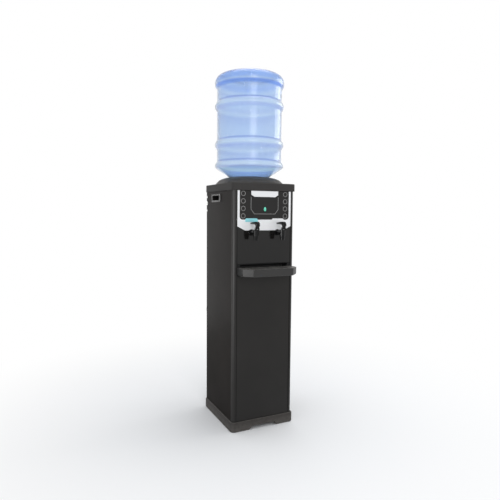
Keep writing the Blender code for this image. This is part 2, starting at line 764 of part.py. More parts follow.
def swept(path, radius, sides, turn=0.0):
    """A round tube along a path, carried without twist."""
    points = [Vector(point) for point in path]
    last = len(points) - 1
    tangents = []
    for i in range(len(points)):
        ahead = points[min(i + 1, last)] - points[max(i - 1, 0)]
        tangents.append(ahead.normalized())
    side = Vector((0, 1, 0))
    if abs(tangents[0].dot(side)) > PARALLEL_SHARE:
        side = Vector((0, 0, 1))
    rings = []
    for point, tangent in zip(points, tangents):
        side = (side - tangent * side.dot(tangent)).normalized()
        other = tangent.cross(side)
        ring = []
        for i in range(sides):
            angle = turn + 2 * math.pi * i / sides
            ring.append(point + (side * math.cos(angle) + other * math.sin(angle)) * radius)
        rings.append(ring)
    return lofted(rings)


def flowing(places, steps):
    """A smooth route through places, whose first and last legs are straight."""
    knots = [Vector(place) for place in places[1:-1]]
    knots = [2 * knots[0] - knots[1]] + knots + [2 * knots[-1] - knots[-2]]
    route = []
    for a, b, c, d in zip(knots, knots[1:], knots[2:], knots[3:]):
        for step in range(steps):
            t = step / steps
            bend = 2 * a - 5 * b + 4 * c - d
            twist = 3 * b - a - 3 * c + d
            route.append((2 * b + (c - a) * t + bend * t * t + twist * t ** 3) / 2)
    return [Vector(places[0])] + route + [knots[-2], Vector(places[-1])]


def make_plinth(holder):
    """Base moulding: a deck on four walls, with an arch between its feet at the front and rear."""
    half_x = HALF_WIDTH + PLINTH_OVERHANG
    half_y = HALF_DEPTH + PLINTH_OVERHANG

    def ring(inward, level):
        outline = rounded_rectangle(half_x - inward, half_y - inward, PLINTH_RADIUS - inward)
        return on_plane(outline, "xy", level)

    rings = []
    for step in range(EDGE_STEPS + 1):
        angle = step / EDGE_STEPS * math.pi / 2
        inward = PLINTH_EDGE * (1 - math.sin(angle))
        rings.append(ring(inward, PLINTH_TOP - PLINTH_EDGE * (1 - math.cos(angle))))
    rings.append(ring(0, PLINTH_FOOT_EDGE))
    rings.append(ring(PLINTH_FOOT_EDGE, 0))
    rings.append(ring(PLINTH_WALL, 0))
    rings.append(ring(PLINTH_WALL, PLINTH_TOP - PLINTH_DECK))
    plinth = add("base_plinth", lofted(rings), "plinth_plastic", holder)

    slope = (ARCH_HALF - ARCH_TOP_HALF) / ARCH_HEIGHT
    low_half = ARCH_HALF + slope * OVERRUN
    corners = [
        (-low_half, -OVERRUN),
        (low_half, -OVERRUN),
        (ARCH_TOP_HALF, ARCH_HEIGHT),
        (-ARCH_TOP_HALF, ARCH_HEIGHT),
    ]
    reach = half_y + OVERRUN
    arch = tool("arch cutter", prism(corners, -reach, reach, "xz"), holder)
    combine(plinth, arch, "DIFFERENCE")


def make_pan(holder):
    """Folded steel pan behind the posts, on the plinth's deck."""
    front = FRONT_Y + POST_FACE + POST_TONGUE + SEAM
    back = REAR_PANEL_IN_Y - GAP
    half_x = HALF_WIDTH - SKIN - GAP
    half_y = (back - front) / 2
    levels = [(0, 0), (0, PAN_RIM), (PAN_SHEET, PAN_RIM), (PAN_SHEET, PAN_SHEET)]
    rings = [
        on_plane(rounded_rectangle(half_x - inward, half_y - inward, PAN_RADIUS - inward), "xy", up)
        for inward, up in levels
    ]
    add("base_pan", lofted(rings), "zinc_steel", holder, (0, (front + back) / 2, WALL_BASE))


def make_post(side, sign, holder):
    """Moulded front corner post with a tongue behind each panel that it meets."""
    back_of_front = PANEL_BACK_Y + GAP
    back_of_side = HALF_WIDTH - SKIN - GAP
    corner = (HALF_WIDTH - POST_RADIUS, FRONT_Y + POST_RADIUS)
    outline = [(HALF_WIDTH - POST_FACE, FRONT_Y)]
    outline += arc(corner, POST_RADIUS, -math.pi / 2, 0, FINE_STEPS)
    outline += [
        (HALF_WIDTH, FRONT_Y + POST_FACE),
        (back_of_side, FRONT_Y + POST_FACE),
        (back_of_side, FRONT_Y + POST_FACE + POST_TONGUE),
        (back_of_side - POST_TONGUE_WALL, FRONT_Y + POST_FACE + POST_TONGUE),
        (back_of_side - POST_TONGUE_WALL, back_of_front + POST_TONGUE_WALL),
        (HALF_WIDTH - POST_FACE - POST_TONGUE, back_of_front + POST_TONGUE_WALL),
        (HALF_WIDTH - POST_FACE - POST_TONGUE, back_of_front),
        (HALF_WIDTH - POST_FACE, back_of_front),
    ]
    outline = [(sign * x, y) for x, y in outline]
    add(f"corner_post_{side}", prism(outline, WALL_BASE, WALL_TOP), "charcoal_plastic", holder)


def make_side_panel(side, sign, holder):
    """Painted sheet with its rear edge folded in, and a hole for the handhold."""
    bend = (HALF_WIDTH - FLANGE_BEND, BACK_Y - FLANGE_BEND)
    path = [(HALF_WIDTH, FRONT_Y + POST_FACE + GAP)]
    path += arc(bend, FLANGE_BEND, 0, math.pi / 2, CORNER_STEPS)
    path.append((HALF_WIDTH - REAR_FLANGE, BACK_Y))
    outline = [(sign * x, y) for x, y in strip(path, SKIN)]
    name = f"side_panel_{side}"
    panel = add(name, prism(outline, WALL_BASE, WALL_TOP), "charcoal_steel", holder)
    hole = rounded_rectangle(
        GRIP_OPEN_LENGTH / 2 + GRIP_WALL + GAP,
        GRIP_OPEN_HEIGHT / 2 + GRIP_WALL + GAP,
        GRIP_OPEN_RADIUS + GRIP_WALL,
        centre=(GRIP_CENTRE_Y, GRIP_CENTRE_Z),
    )
    near = sign * (HALF_WIDTH - SKIN - OVERRUN)
    far = sign * (HALF_WIDTH + OVERRUN)
    cutter = tool(f"{side} handhold cutter", prism(hole, near, far, "yz"), holder)
    combine(panel, cutter, "DIFFERENCE")


def make_grip_cup(side, sign, holder):
    """Handhold moulding: a rim outside the sheet and a closed finger cup inside it."""

    def ring(half_length, half_height, radius, out):
        outline = rounded_rectangle(half_length, half_height, radius)
        return on_plane(outline, "yz", sign * out)

    open_y = GRIP_OPEN_LENGTH / 2
    open_z = GRIP_OPEN_HEIGHT / 2
    rim_y = GRIP_RIM_LENGTH / 2
    rim_z = GRIP_RIM_HEIGHT / 2
    cup_y = open_y + GRIP_WALL
    cup_z = open_z + GRIP_WALL
    face = GAP + GRIP_RIM_PROUD
    rings = [
        ring(open_y, open_z, GRIP_OPEN_RADIUS, -GRIP_DEPTH),
        ring(open_y, open_z, GRIP_OPEN_RADIUS, face - GRIP_LIP),
        ring(open_y + GRIP_RIM_EDGE, open_z + GRIP_RIM_EDGE, GRIP_OPEN_RADIUS, face),
        ring(rim_y - GRIP_RIM_EDGE, rim_z - GRIP_RIM_EDGE, GRIP_RIM_RADIUS, face),
        ring(rim_y, rim_z, GRIP_RIM_RADIUS, face - GRIP_RIM_EDGE),
        ring(rim_y, rim_z, GRIP_RIM_RADIUS, GAP),
        ring(cup_y, cup_z, GRIP_OPEN_RADIUS + GRIP_WALL, GAP),
        ring(cup_y, cup_z, GRIP_OPEN_RADIUS + GRIP_WALL, -GRIP_DEPTH - GRIP_WALL),
    ]
    at = (sign * HALF_WIDTH, GRIP_CENTRE_Y, GRIP_CENTRE_Z)
    add(f"grip_cup_{side}", lofted(rings), "black_plastic", holder, at)


def front_plate(name, low, high, look, holder):
    """A flush panel between the two corner posts."""
    outline = [
        (-PANEL_HALF, low + GAP),
        (PANEL_HALF, low + GAP),
        (PANEL_HALF, high - GAP),
        (-PANEL_HALF, high - GAP),
    ]
    return add(name, prism(outline, PANEL_FRONT_Y, PANEL_BACK_Y, "xz"), look, holder)


def make_front_panels(holder):
    """Lower door panel and glossy upper fascia, which is bored for the taps."""
    lower = front_plate("front_lower_panel", PLINTH_TOP, TRAY_SLOT_BASE, "charcoal_steel", holder)
    soften(lower, PANEL_EDGE)
    fascia = front_plate("tap_fascia", TRAY_SLOT_TOP, COVER_BASE, "gloss_charcoal", holder)
    soften(fascia, PANEL_EDGE)
    deep = -PANEL_BACK_Y - OVERRUN
    shallow = -PANEL_FRONT_Y + OVERRUN
    holes = [
        moved(
            rod(TAP_SHANK_RADIUS + TAP_HOLE_PLAY, deep, shallow, MEDIUM_SIDES, "Y"),
            (sign * TAP_X, 0, TAP_Z),
        )
        for sign in (-1, 1)
    ]
    combine(fascia, tool("tap hole cutter", joined(holes), holder), "DIFFERENCE")


def make_tray_housing(holder):
    """Front bezel with the pocket that the tray's tongue slides into."""
    cavity_low = TRAY_BASE - GAP
    cavity_high = TRAY_TOP + POCKET_HEAD_ROOM
    cavity_half = TRAY_TONGUE_HALF + POCKET_SIDE_PLAY
    cavity_back = FRONT_Y + TRAY_TONGUE_DEPTH + POCKET_BACK_PLAY
    low = TRAY_SLOT_BASE + GAP
    high = TRAY_SLOT_TOP - GAP

    def ring(half, bottom, top, depth):
        middle = (0, (bottom + top) / 2)
        outline = rounded_rectangle(half, (top - bottom) / 2, SMALL_RADIUS, FEW_STEPS, middle)
        return on_plane(outline, "xz", depth)

    box_low = cavity_low - POCKET_WALL
    box_high = cavity_high + POCKET_WALL - GAP
    rings = [
        ring(cavity_half, cavity_low, cavity_high, cavity_back),
        ring(cavity_half, cavity_low, cavity_high, PANEL_FRONT_Y),
        ring(PANEL_HALF, low, high, PANEL_FRONT_Y),
        ring(PANEL_HALF, low, high, PANEL_BACK_Y),
        ring(cavity_half + POCKET_WALL, box_low, box_high, PANEL_BACK_Y),
        ring(cavity_half + POCKET_WALL, box_low, box_high, cavity_back + POCKET_WALL),
    ]
    add("tray_housing", lofted(rings), "black_plastic", holder)


def tray_plan(rear_y, rear_half):
    """The tray's plan, anticlockwise: a wide nose with cut corners, and a narrower tongue behind."""
    shoulder_y = FRONT_Y - GAP
    straight_y = FRONT_Y - TRAY_STRAIGHT
    nose_y = FRONT_Y - TRAY_REACH
    right = [
        (TRAY_NOSE_HALF, nose_y),
        (TRAY_HALF_WIDTH, straight_y),
        (TRAY_HALF_WIDTH, shoulder_y),
    ]
    if rear_half < TRAY_HALF_WIDTH:
        right.append((rear_half, shoulder_y))
        right.append((rear_half, rear_y))
    return [(-x, y) for x, y in right][::-1] + right


def make_tray(holder):
    """Open drip tray with a ledge round the inside for its grille."""
    corners = tray_plan(FRONT_Y + TRAY_TONGUE_DEPTH, TRAY_TONGUE_HALF)
    step_in = TRAY_WALL + TRAY_LEDGE
    ledge = TRAY_TOP - TRAY_LEDGE_DEPTH
    levels = [
        (step_in, TRAY_BASE + TRAY_FLOOR),
        (step_in, ledge),
        (TRAY_WALL, ledge),
        (TRAY_WALL, TRAY_TOP),
        (TRAY_RIM_EDGE, TRAY_TOP),
        (0, TRAY_TOP - TRAY_RIM_EDGE),
        (TRAY_DRAFT, TRAY_BASE + TRAY_FLOOR),
        (TRAY_DRAFT + TRAY_FLOOR, TRAY_BASE),
    ]
    rings = [
        on_plane(filleted(inset(corners, inward), TRAY_FILLET), "xy", level)
        for inward, level in levels
    ]
    add("drip_tray", lofted(rings), "charcoal_plastic", holder)


def make_grille(holder):
    """Slotted plate that drops onto the tray's ledge."""
    outline = filleted(inset(tray_plan(0, TRAY_HALF_WIDTH), TRAY_WALL + GAP), TRAY_FILLET)
    base = TRAY_TOP - TRAY_LEDGE_DEPTH + GAP
    top = base + GRILLE_THICKNESS
    grille = add("drip_grille", prism(outline, base, top), "black_plastic", holder)
    slots = []
    for row in range(GRILLE_ROWS):
        middle_y = FRONT_Y - GRILLE_FIRST - row * GRILLE_PITCH
        for column in range(GRILLE_COLUMNS):
            place = column - (GRILLE_COLUMNS - 1) / 2
            middle = (place * (GRILLE_SLOT_LENGTH + GRILLE_RIB), middle_y)
            slot = rounded_rectangle(
                GRILLE_SLOT_LENGTH / 2, GRILLE_SLOT / 2, GRILLE_SLOT / 2, 1, middle
            )
            slots.append(prism(slot, base - OVERRUN, top + OVERRUN))
    combine(grille, tool("slot cutter", joined(slots), holder), "DIFFERENCE")


def trim(name, outline, back, proud, look, holder):
    """A flat moulding set on the fascia, with a softened face."""
    piece = add(name, prism(outline, back - proud, back, "xz"), look, holder)
    soften(piece, TRIM_EDGE)
    return piece


def make_trims(holder):
    """Pale surround, blank plate, dark shield, round-ended lens and the tab over each tap."""
    back = PANEL_FRONT_Y - GAP
    inner = FRAME_OUTER_HALF - FRAME_STRIP
    turn = (inner - FRAME_INNER_RADIUS, FRAME_SILL + FRAME_INNER_RADIUS)
    right = [
        (FRAME_BASE_HALF, FRAME_BASE),
        (FRAME_OUTER_HALF, FRAME_SHOULDER),
        (FRAME_OUTER_HALF, FRAME_TOP),
        (inner, FRAME_TOP),
    ]
    right += arc(turn, FRAME_INNER_RADIUS, 0, -math.pi / 2, CORNER_STEPS)
    outline = right + [(-x, z) for x, z in reversed(right)]
    frame = trim("fascia_frame", outline, back, FRAME_PROUD, "white_plastic", holder)
    near, far = -back - OVERRUN, -back + 2 * OVERRUN
    notches = [
        moved(rod(TAP_FLANGE_RADIUS + SEAM, near, far, MEDIUM_SIDES, "Y"), (x, 0, TAP_Z))
        for x in (-TAP_X, TAP_X)
    ]
    combine(frame, tool("tap notches", joined(notches), holder), "DIFFERENCE")

    def shield_shape(half, base, top, cut_x, cut_z):
        right_side = [(half - cut_x, base), (half, base + cut_z), (half, top)]
        return right_side + [(-x, z) for x, z in reversed(right_side)]

    plate = shield_shape(PLATE_HALF, PLATE_BASE, PLATE_TOP, PLATE_CHAMFER_X, PLATE_CHAMFER_Z)
    trim("blank_plate", plate, back, PLATE_PROUD, "white_plastic", holder)
    shield_top = PLATE_BASE - GAP
    shield = shield_shape(SHIELD_HALF, SHIELD_BASE, shield_top, SHIELD_CHAMFER_X, SHIELD_CHAMFER_Z)
    trim("control_shield", shield, back, SHIELD_PROUD, "gloss_charcoal", holder)

    lens_back = back - SHIELD_PROUD - GAP
    rings = []
    crown = ((1, 0), (1, LENS_PROUD - LENS_DOME), (LENS_CROWN_SHARE, LENS_PROUD))
    for share, out in crown:
        lens = rounded_rectangle(
            LENS_HALF_WIDTH * share, LENS_HALF_HEIGHT * share, LENS_HALF_WIDTH * share, FINE_STEPS
        )
        rings.append(on_plane(lens, "xz", -out))
    add("indicator_lens", lofted(rings), "teal_lens", holder, (LENS_X, lens_back, LENS_Z))

    tab_back = back - FRAME_PROUD - GAP
    for label, sign, look in (("cold", -1, "cyan_plastic"), ("natural", 1, "white_plastic")):
        tab = [
            (TAB_INNER, TAB_BASE),
            (TAB_OUTER, TAB_BASE),
            (TAB_OUTER, TAB_TOP - TAB_CORNER),
            (TAB_OUTER - TAB_CORNER, TAB_TOP),
            (TAB_INNER + TAB_CORNER, TAB_TOP),
            (TAB_INNER, TAB_TOP - TAB_CORNER),
        ]
        tab = [(sign * x, z) for x, z in tab]
        trim(f"tap_tab_{label}", tab, tab_back, TAB_PROUD, look, holder)


def make_tap_body(label, x, holder):
    """Valve body: barrel and threaded shank through the fascia, with an upright valve and spout."""
    at = (x, PANEL_FRONT_Y, TAP_Z)
    flange_back = GAP
    flange_front = flange_back + TAP_FLANGE_THICKNESS
    shank_end = -PANEL_THICKNESS - TAP_SHANK_LENGTH
    barb_end = shank_end - TAP_BARB_LENGTH
    barrel = [
        (0, barb_end),
        (TAP_BARB_RADIUS, barb_end),
        (TAP_BARB_RADIUS, shank_end),
        (TAP_SHANK_RADIUS, shank_end),
        (TAP_SHANK_RADIUS, flange_back),
        (TAP_FLANGE_RADIUS, flange_back),
        (TAP_FLANGE_RADIUS, flange_front - TRIM_EDGE),
        (TAP_FLANGE_RADIUS - TRIM_EDGE, flange_front),
        (TAP_BARREL_RADIUS, flange_front),
        (TAP_BARREL_RADIUS, TAP_VALVE_REACH),
        (0, TAP_VALVE_REACH),
    ]
    body = add(f"tap_body_{label}", turned(barrel, MEDIUM_SIDES, "Y"), "black_plastic", holder, at)
    valve = [
        (0, TAP_VALVE_TOP),
        (TAP_VALVE_RADIUS, TAP_VALVE_TOP),
        (TAP_VALVE_RADIUS, TAP_SPOUT_SHOULDER),
        (TAP_SPOUT_TOP_RADIUS, TAP_SPOUT_SHOULDER - TAP_FLANGE_THICKNESS),
        (TAP_SPOUT_RADIUS, TAP_SPOUT_BASE),
        (0, TAP_SPOUT_BASE),
    ]
    upright = (x, VALVE_Y, TAP_Z)
    added = tool(f"{label} valve form", turned(valve, MEDIUM_SIDES), holder, upright)
    combine(body, added, "UNION")
    bore = [
        (0, TAP_VALVE_TOP + OVERRUN),
        (TAP_BORE_RADIUS, TAP_VALVE_TOP + OVERRUN),
        (TAP_BORE_RADIUS, TAP_SEAT),
        (TAP_OUTLET_RADIUS, TAP_SEAT),
        (TAP_OUTLET_RADIUS, TAP_SPOUT_BASE - OVERRUN),
        (0, TAP_SPOUT_BASE - OVERRUN),
    ]
    drilled = tool(f"{label} valve bore", turned(bore, SMALL_SIDES), holder, upright)
    combine(body, drilled, "DIFFERENCE")
    inlet = rod(TAP_INLET_RADIUS, barb_end - OVERRUN, TAP_VALVE_REACH, PIN_SIDES, "Y")
    combine(body, tool(f"{label} inlet bore", inlet, holder, at), "DIFFERENCE")

    nut_radius = NUT_FLATS / 2 / math.cos(math.pi / NUT_SIDES)
    hole = TAP_SHANK_RADIUS + TAP_HOLE_PLAY
    nut = prism(circle(nut_radius, NUT_SIDES), 0, NUT_THICKNESS)
    bmesh.ops.transform(nut, matrix=Matrix.Rotation(-math.pi / 2, 4, "X"), verts=nut.verts)
    nut_at = (x, PANEL_BACK_Y + GAP, TAP_Z)
    hexagon = add(f"tap_nut_{label}", nut, "zinc_steel", holder, nut_at)
    eye = rod(hole, -NUT_THICKNESS - OVERRUN, OVERRUN, MEDIUM_SIDES, "Y")
    combine(hexagon, tool(f"{label} nut bore", eye, holder, nut_at), "DIFFERENCE")


def make_bonnet(label, x, holder):
    """Cap screwed on the valve, with two ears that hold the lever's pin."""
    at = (x, VALVE_Y, TAP_Z)
    disc = [
        (0, BONNET_BASE),
        (BONNET_RADIUS, BONNET_BASE),
        (BONNET_RADIUS, BONNET_TOP - TRIM_EDGE),
        (BONNET_RADIUS - TRIM_EDGE, BONNET_TOP),
        (0, BONNET_TOP),
    ]
    name = f"tap_bonnet_{label}"
    bonnet = add(name, turned(disc, MEDIUM_SIDES), "black_plastic", holder, at)
    low = BONNET_BASE + TRIM_EDGE
    middle = (-PIVOT_FORWARD, PIVOT_Z)
    profile = arc(middle, EAR_RADIUS, 0, math.pi, FINE_STEPS)
    profile += [(middle[0] - EAR_RADIUS, BONNET_TOP), (middle[0], low), (middle[0] + EAR_RADIUS, low)]
    ears = [prism(profile, sign * EAR_INNER, sign * EAR_OUTER, "yz") for sign in (-1, 1)]
    combine(bonnet, tool(f"{label} ear form", joined(ears), holder, at), "UNION")
    pin_bore = rod(PIVOT_BORE_RADIUS, -EAR_OUTER - OVERRUN, EAR_OUTER + OVERRUN, PIN_SIDES, "X")
    pin_bore = moved(pin_bore, (0, middle[0], middle[1]))
    stem_bore = rod(STEM_BORE_RADIUS, BONNET_BASE - OVERRUN, BONNET_TOP + OVERRUN, PIN_SIDES)
    bores = tool(f"{label} bonnet bores", joined([pin_bore, stem_bore]), holder, at)
    combine(bonnet, bores, "DIFFERENCE")
    pin_at = (x, PIVOT_Y, TAP_Z + PIVOT_Z)
    pin = rod(PIVOT_PIN_RADIUS, -EAR_OUTER, EAR_OUTER, PIN_SIDES, "X")
    add(f"tap_pin_{label}", pin, "zinc_steel", holder, pin_at)


def make_stem(label, x, holder):
    """Valve stem: a soft cone on the seat, and a rod up to a head that the lever lifts."""
    seat = TAP_SEAT + GAP
    head = PIVOT_Z + LEVER_NOSE_TOP + GAP
    profile = [
        (0, seat),
        (STEM_CONE_RADIUS, seat),
        (STEM_CONE_RADIUS, seat + STEM_CONE_HEIGHT / 2),
        (STEM_RADIUS, seat + STEM_CONE_HEIGHT),
        (STEM_RADIUS, head),
        (STEM_HEAD_RADIUS, head),
        (STEM_HEAD_RADIUS, head + STEM_HEAD_THICKNESS / 2),
        (STEM_HEAD_RADIUS / 2, head + STEM_HEAD_THICKNESS),
        (0, head + STEM_HEAD_THICKNESS),
    ]
    at = (x, VALVE_Y, TAP_Z)
    add(f"tap_stem_{label}", turned(profile, PIN_SIDES), "clear_silicone", holder, at)


def lever_line(steps):
    """The middle of the cane in the tap's side view, as (y, z) from the pivot, up and over to its tip."""
    rise = arc((0, 0), 1, LEVER_START_ANGLE, math.pi / 2, steps)
    line = [
        (-LEVER_BOW * across, LEVER_CANE_START_Z + (LEVER_RISE - LEVER_CANE_START_Z) * (up + 1) / 2)
        for across, up in rise
    ]
    top_y, top_z = line[-1]
    for step in range(1, steps + 1):
        share = step / steps
        drop = LEVER_DROOP * share ** 2
        line.append((top_y + (LEVER_SWEEP - LEVER_BOW) * share, top_z - drop))
    return line


def make_lever(label, x, holder):
    """Cane-shaped lever: hub on the pin, forked nose under the stem's head, and a curled handle."""
    at = (x, PIVOT_Y, TAP_Z + PIVOT_Z)
    line = lever_line(FINE_STEPS)
    outer, inner = [], []
    last = len(line) - 1
    for i, (y, z) in enumerate(line):
        ahead = Vector(line[min(i + 1, last)]) - Vector(line[max(i - 1, 0)])
        ahead.normalize()
        share = i / last
        half = (LEVER_ROOT_THICKNESS + (LEVER_TIP_THICKNESS - LEVER_ROOT_THICKNESS) * share) / 2
        outer.append((y - ahead.y * half, z + ahead.x * half))
        inner.append((y + ahead.y * half, z - ahead.x * half))
    cane = prism(outer + inner[::-1], -LEVER_HALF_WIDTH, LEVER_HALF_WIDTH, "yz")
    lever = add(f"tap_lever_{label}", cane, "black_plastic", holder, at)
    soften(lever, LEVER_EDGE)

    hub_half = EAR_INNER - LEVER_SIDE_PLAY
    hub = arc((0, 0), LEVER_HUB_RADIUS, math.pi, 1.5 * math.pi, CORNER_STEPS)
    hub += [
        (LEVER_NOSE_REACH, LEVER_NOSE_BASE),
        (LEVER_NOSE_REACH, LEVER_NOSE_TOP),
        (LEVER_HUB_RADIUS, LEVER_NOSE_TOP),
        (inner[1][0], inner[1][1]),
        (outer[1][0], outer[1][1]),
    ]
    form = tool(f"{label} lever hub", prism(hub, -hub_half, hub_half, "yz"), holder, at)
    combine(lever, form, "UNION")
    pin_bore = rod(PIVOT_BORE_RADIUS, -hub_half - OVERRUN, hub_half + OVERRUN, PIN_SIDES, "X")
    slot = [
        (PIVOT_FORWARD - LEVER_SLOT_HALF, -LEVER_HUB_RADIUS - OVERRUN),
        (LEVER_NOSE_REACH + OVERRUN, -LEVER_HUB_RADIUS - OVERRUN),
        (LEVER_NOSE_REACH + OVERRUN, LEVER_NOSE_TOP + OVERRUN),
        (PIVOT_FORWARD - LEVER_SLOT_HALF, LEVER_NOSE_TOP + OVERRUN),
    ]
    fork = prism(slot, -LEVER_SLOT_HALF, LEVER_SLOT_HALF, "yz")
    cuts = tool(f"{label} lever cuts", joined([pin_bore, fork]), holder, at)
    combine(lever, cuts, "DIFFERENCE")


def make_cover(holder):
    """Top cover: a rounded skirt and a plate with the reservoir's opening."""
    half_x = HALF_WIDTH + COVER_OVERHANG
    half_y = HALF_DEPTH + COVER_OVERHANG
    count = 4 * (FINE_STEPS + 1)

    def ring(inward, level):
        outline = rounded_rectangle(
            half_x - inward, half_y - inward, COVER_RADIUS - inward, FINE_STEPS
        )
        return on_plane(outline, "xy", level)

    def hole(radius, level):
        return on_plane(circle(radius, count), "xy", level)

    base = COVER_BASE + GAP
    plate = COVER_TOP - COVER_PLATE
    rings = [ring(0, base)]
    for step in range(EDGE_STEPS + 1):
        angle = step / EDGE_STEPS * math.pi / 2
        inward = COVER_EDGE * (1 - math.cos(angle))
        rings.append(ring(inward, COVER_TOP - COVER_EDGE * (1 - math.sin(angle))))
    rings += [
        hole(COVER_HOLE_RADIUS + COVER_HOLE_EDGE, COVER_TOP),
        hole(COVER_HOLE_RADIUS, COVER_TOP - COVER_HOLE_EDGE),
        hole(COVER_HOLE_RADIUS, plate),
        ring(COVER_WALL, plate),
        ring(COVER_WALL, base),
    ]
    add("top_cover", lofted(rings, closed=True), "charcoal_plastic", holder)


def cone_z(radius):
    """Height of the bottle's cone at a radius, where the collar carries it."""
    share = (radius - BOTTLE_CONE_RADIUS) / (BOTTLE_SHOULDER_EDGE_RADIUS - BOTTLE_CONE_RADIUS)
    return BOTTLE_CONE_Z + share * (BOTTLE_SHOULDER_EDGE_Z - BOTTLE_CONE_Z)


def make_collar(holder):
    """Domed bottle collar: rounded-square foot, round rim under the bottle, and a guide funnel."""
    steps = FINE_STEPS
    count = 4 * (steps + 1)
    foot_z = COVER_TOP + GAP
    rim_z = cone_z(COLLAR_RIM_RADIUS) - 2 * GAP

    def ring(share, inward, level):
        square = rounded_rectangle(
            COLLAR_HALF_X - inward, COLLAR_HALF_Y - inward, COLLAR_RADIUS - inward, steps
        )
        rim = circle(COLLAR_RIM_RADIUS + COLLAR_RIM_HALF - inward, count)
        return on_plane(blended(square, rim, share), "xy", level)

    def round_ring(radius, level):
        return on_plane(circle(radius, count), "xy", level)

    rise = rim_z - COLLAR_WALL / 2 - foot_z - COLLAR_FOOT
    dome = []
    for step in range(COLLAR_DOME_STEPS + 1):
        share = step / COLLAR_DOME_STEPS
        height = rise * math.sin(share * math.pi / 2) ** COLLAR_DOME_POWER_SHARE
        dome.append((share, foot_z + COLLAR_FOOT + height))
    rings = [ring(0, 0, foot_z)]
    rings += [ring(share, 0, level) for share, level in dome]
    rings += [
        round_ring(COLLAR_RIM_RADIUS, rim_z),
        round_ring(COLLAR_RIM_RADIUS - COLLAR_RIM_HALF, rim_z - COLLAR_WALL / 2),
        round_ring(COLLAR_THROAT_RADIUS + COLLAR_WALL, COLLAR_THROAT_TOP + COLLAR_WALL),
        round_ring(COLLAR_THROAT_RADIUS, COLLAR_THROAT_TOP),
        round_ring(COLLAR_THROAT_RADIUS, COLLAR_THROAT_BASE),
        round_ring(COLLAR_THROAT_RADIUS + COLLAR_WALL, COLLAR_THROAT_BASE),
        round_ring(COLLAR_THROAT_RADIUS + COLLAR_WALL, COLLAR_THROAT_TOP - COLLAR_WALL),
        round_ring(COLLAR_RIM_RADIUS - 2 * COLLAR_RIM_HALF, rim_z - COLLAR_UNDER_SHARE * COLLAR_WALL),
    ]
    rings += [ring(share, COLLAR_WALL, level - COLLAR_WALL) for share, level in dome[::-1][1:-1]]
    rings.append(ring(0, COLLAR_WALL, foot_z))
    add("bottle_collar", lofted(rings, closed=True), "charcoal_plastic", holder)


def rib(middle, half, base_radius, proud, steps=BOTTLE_RIB_STEPS):
    """Profile points of one rounded hoop round the bottle, from its upper edge to its lower."""
    points = []
    for step in range(steps + 1):
        along = 1 - 2 * step / steps
        swell = proud * math.cos(along * math.pi / 2) ** BOTTLE_RIB_POWER_SHARE
        points.append((base_radius + swell, middle + half * along))
    return points


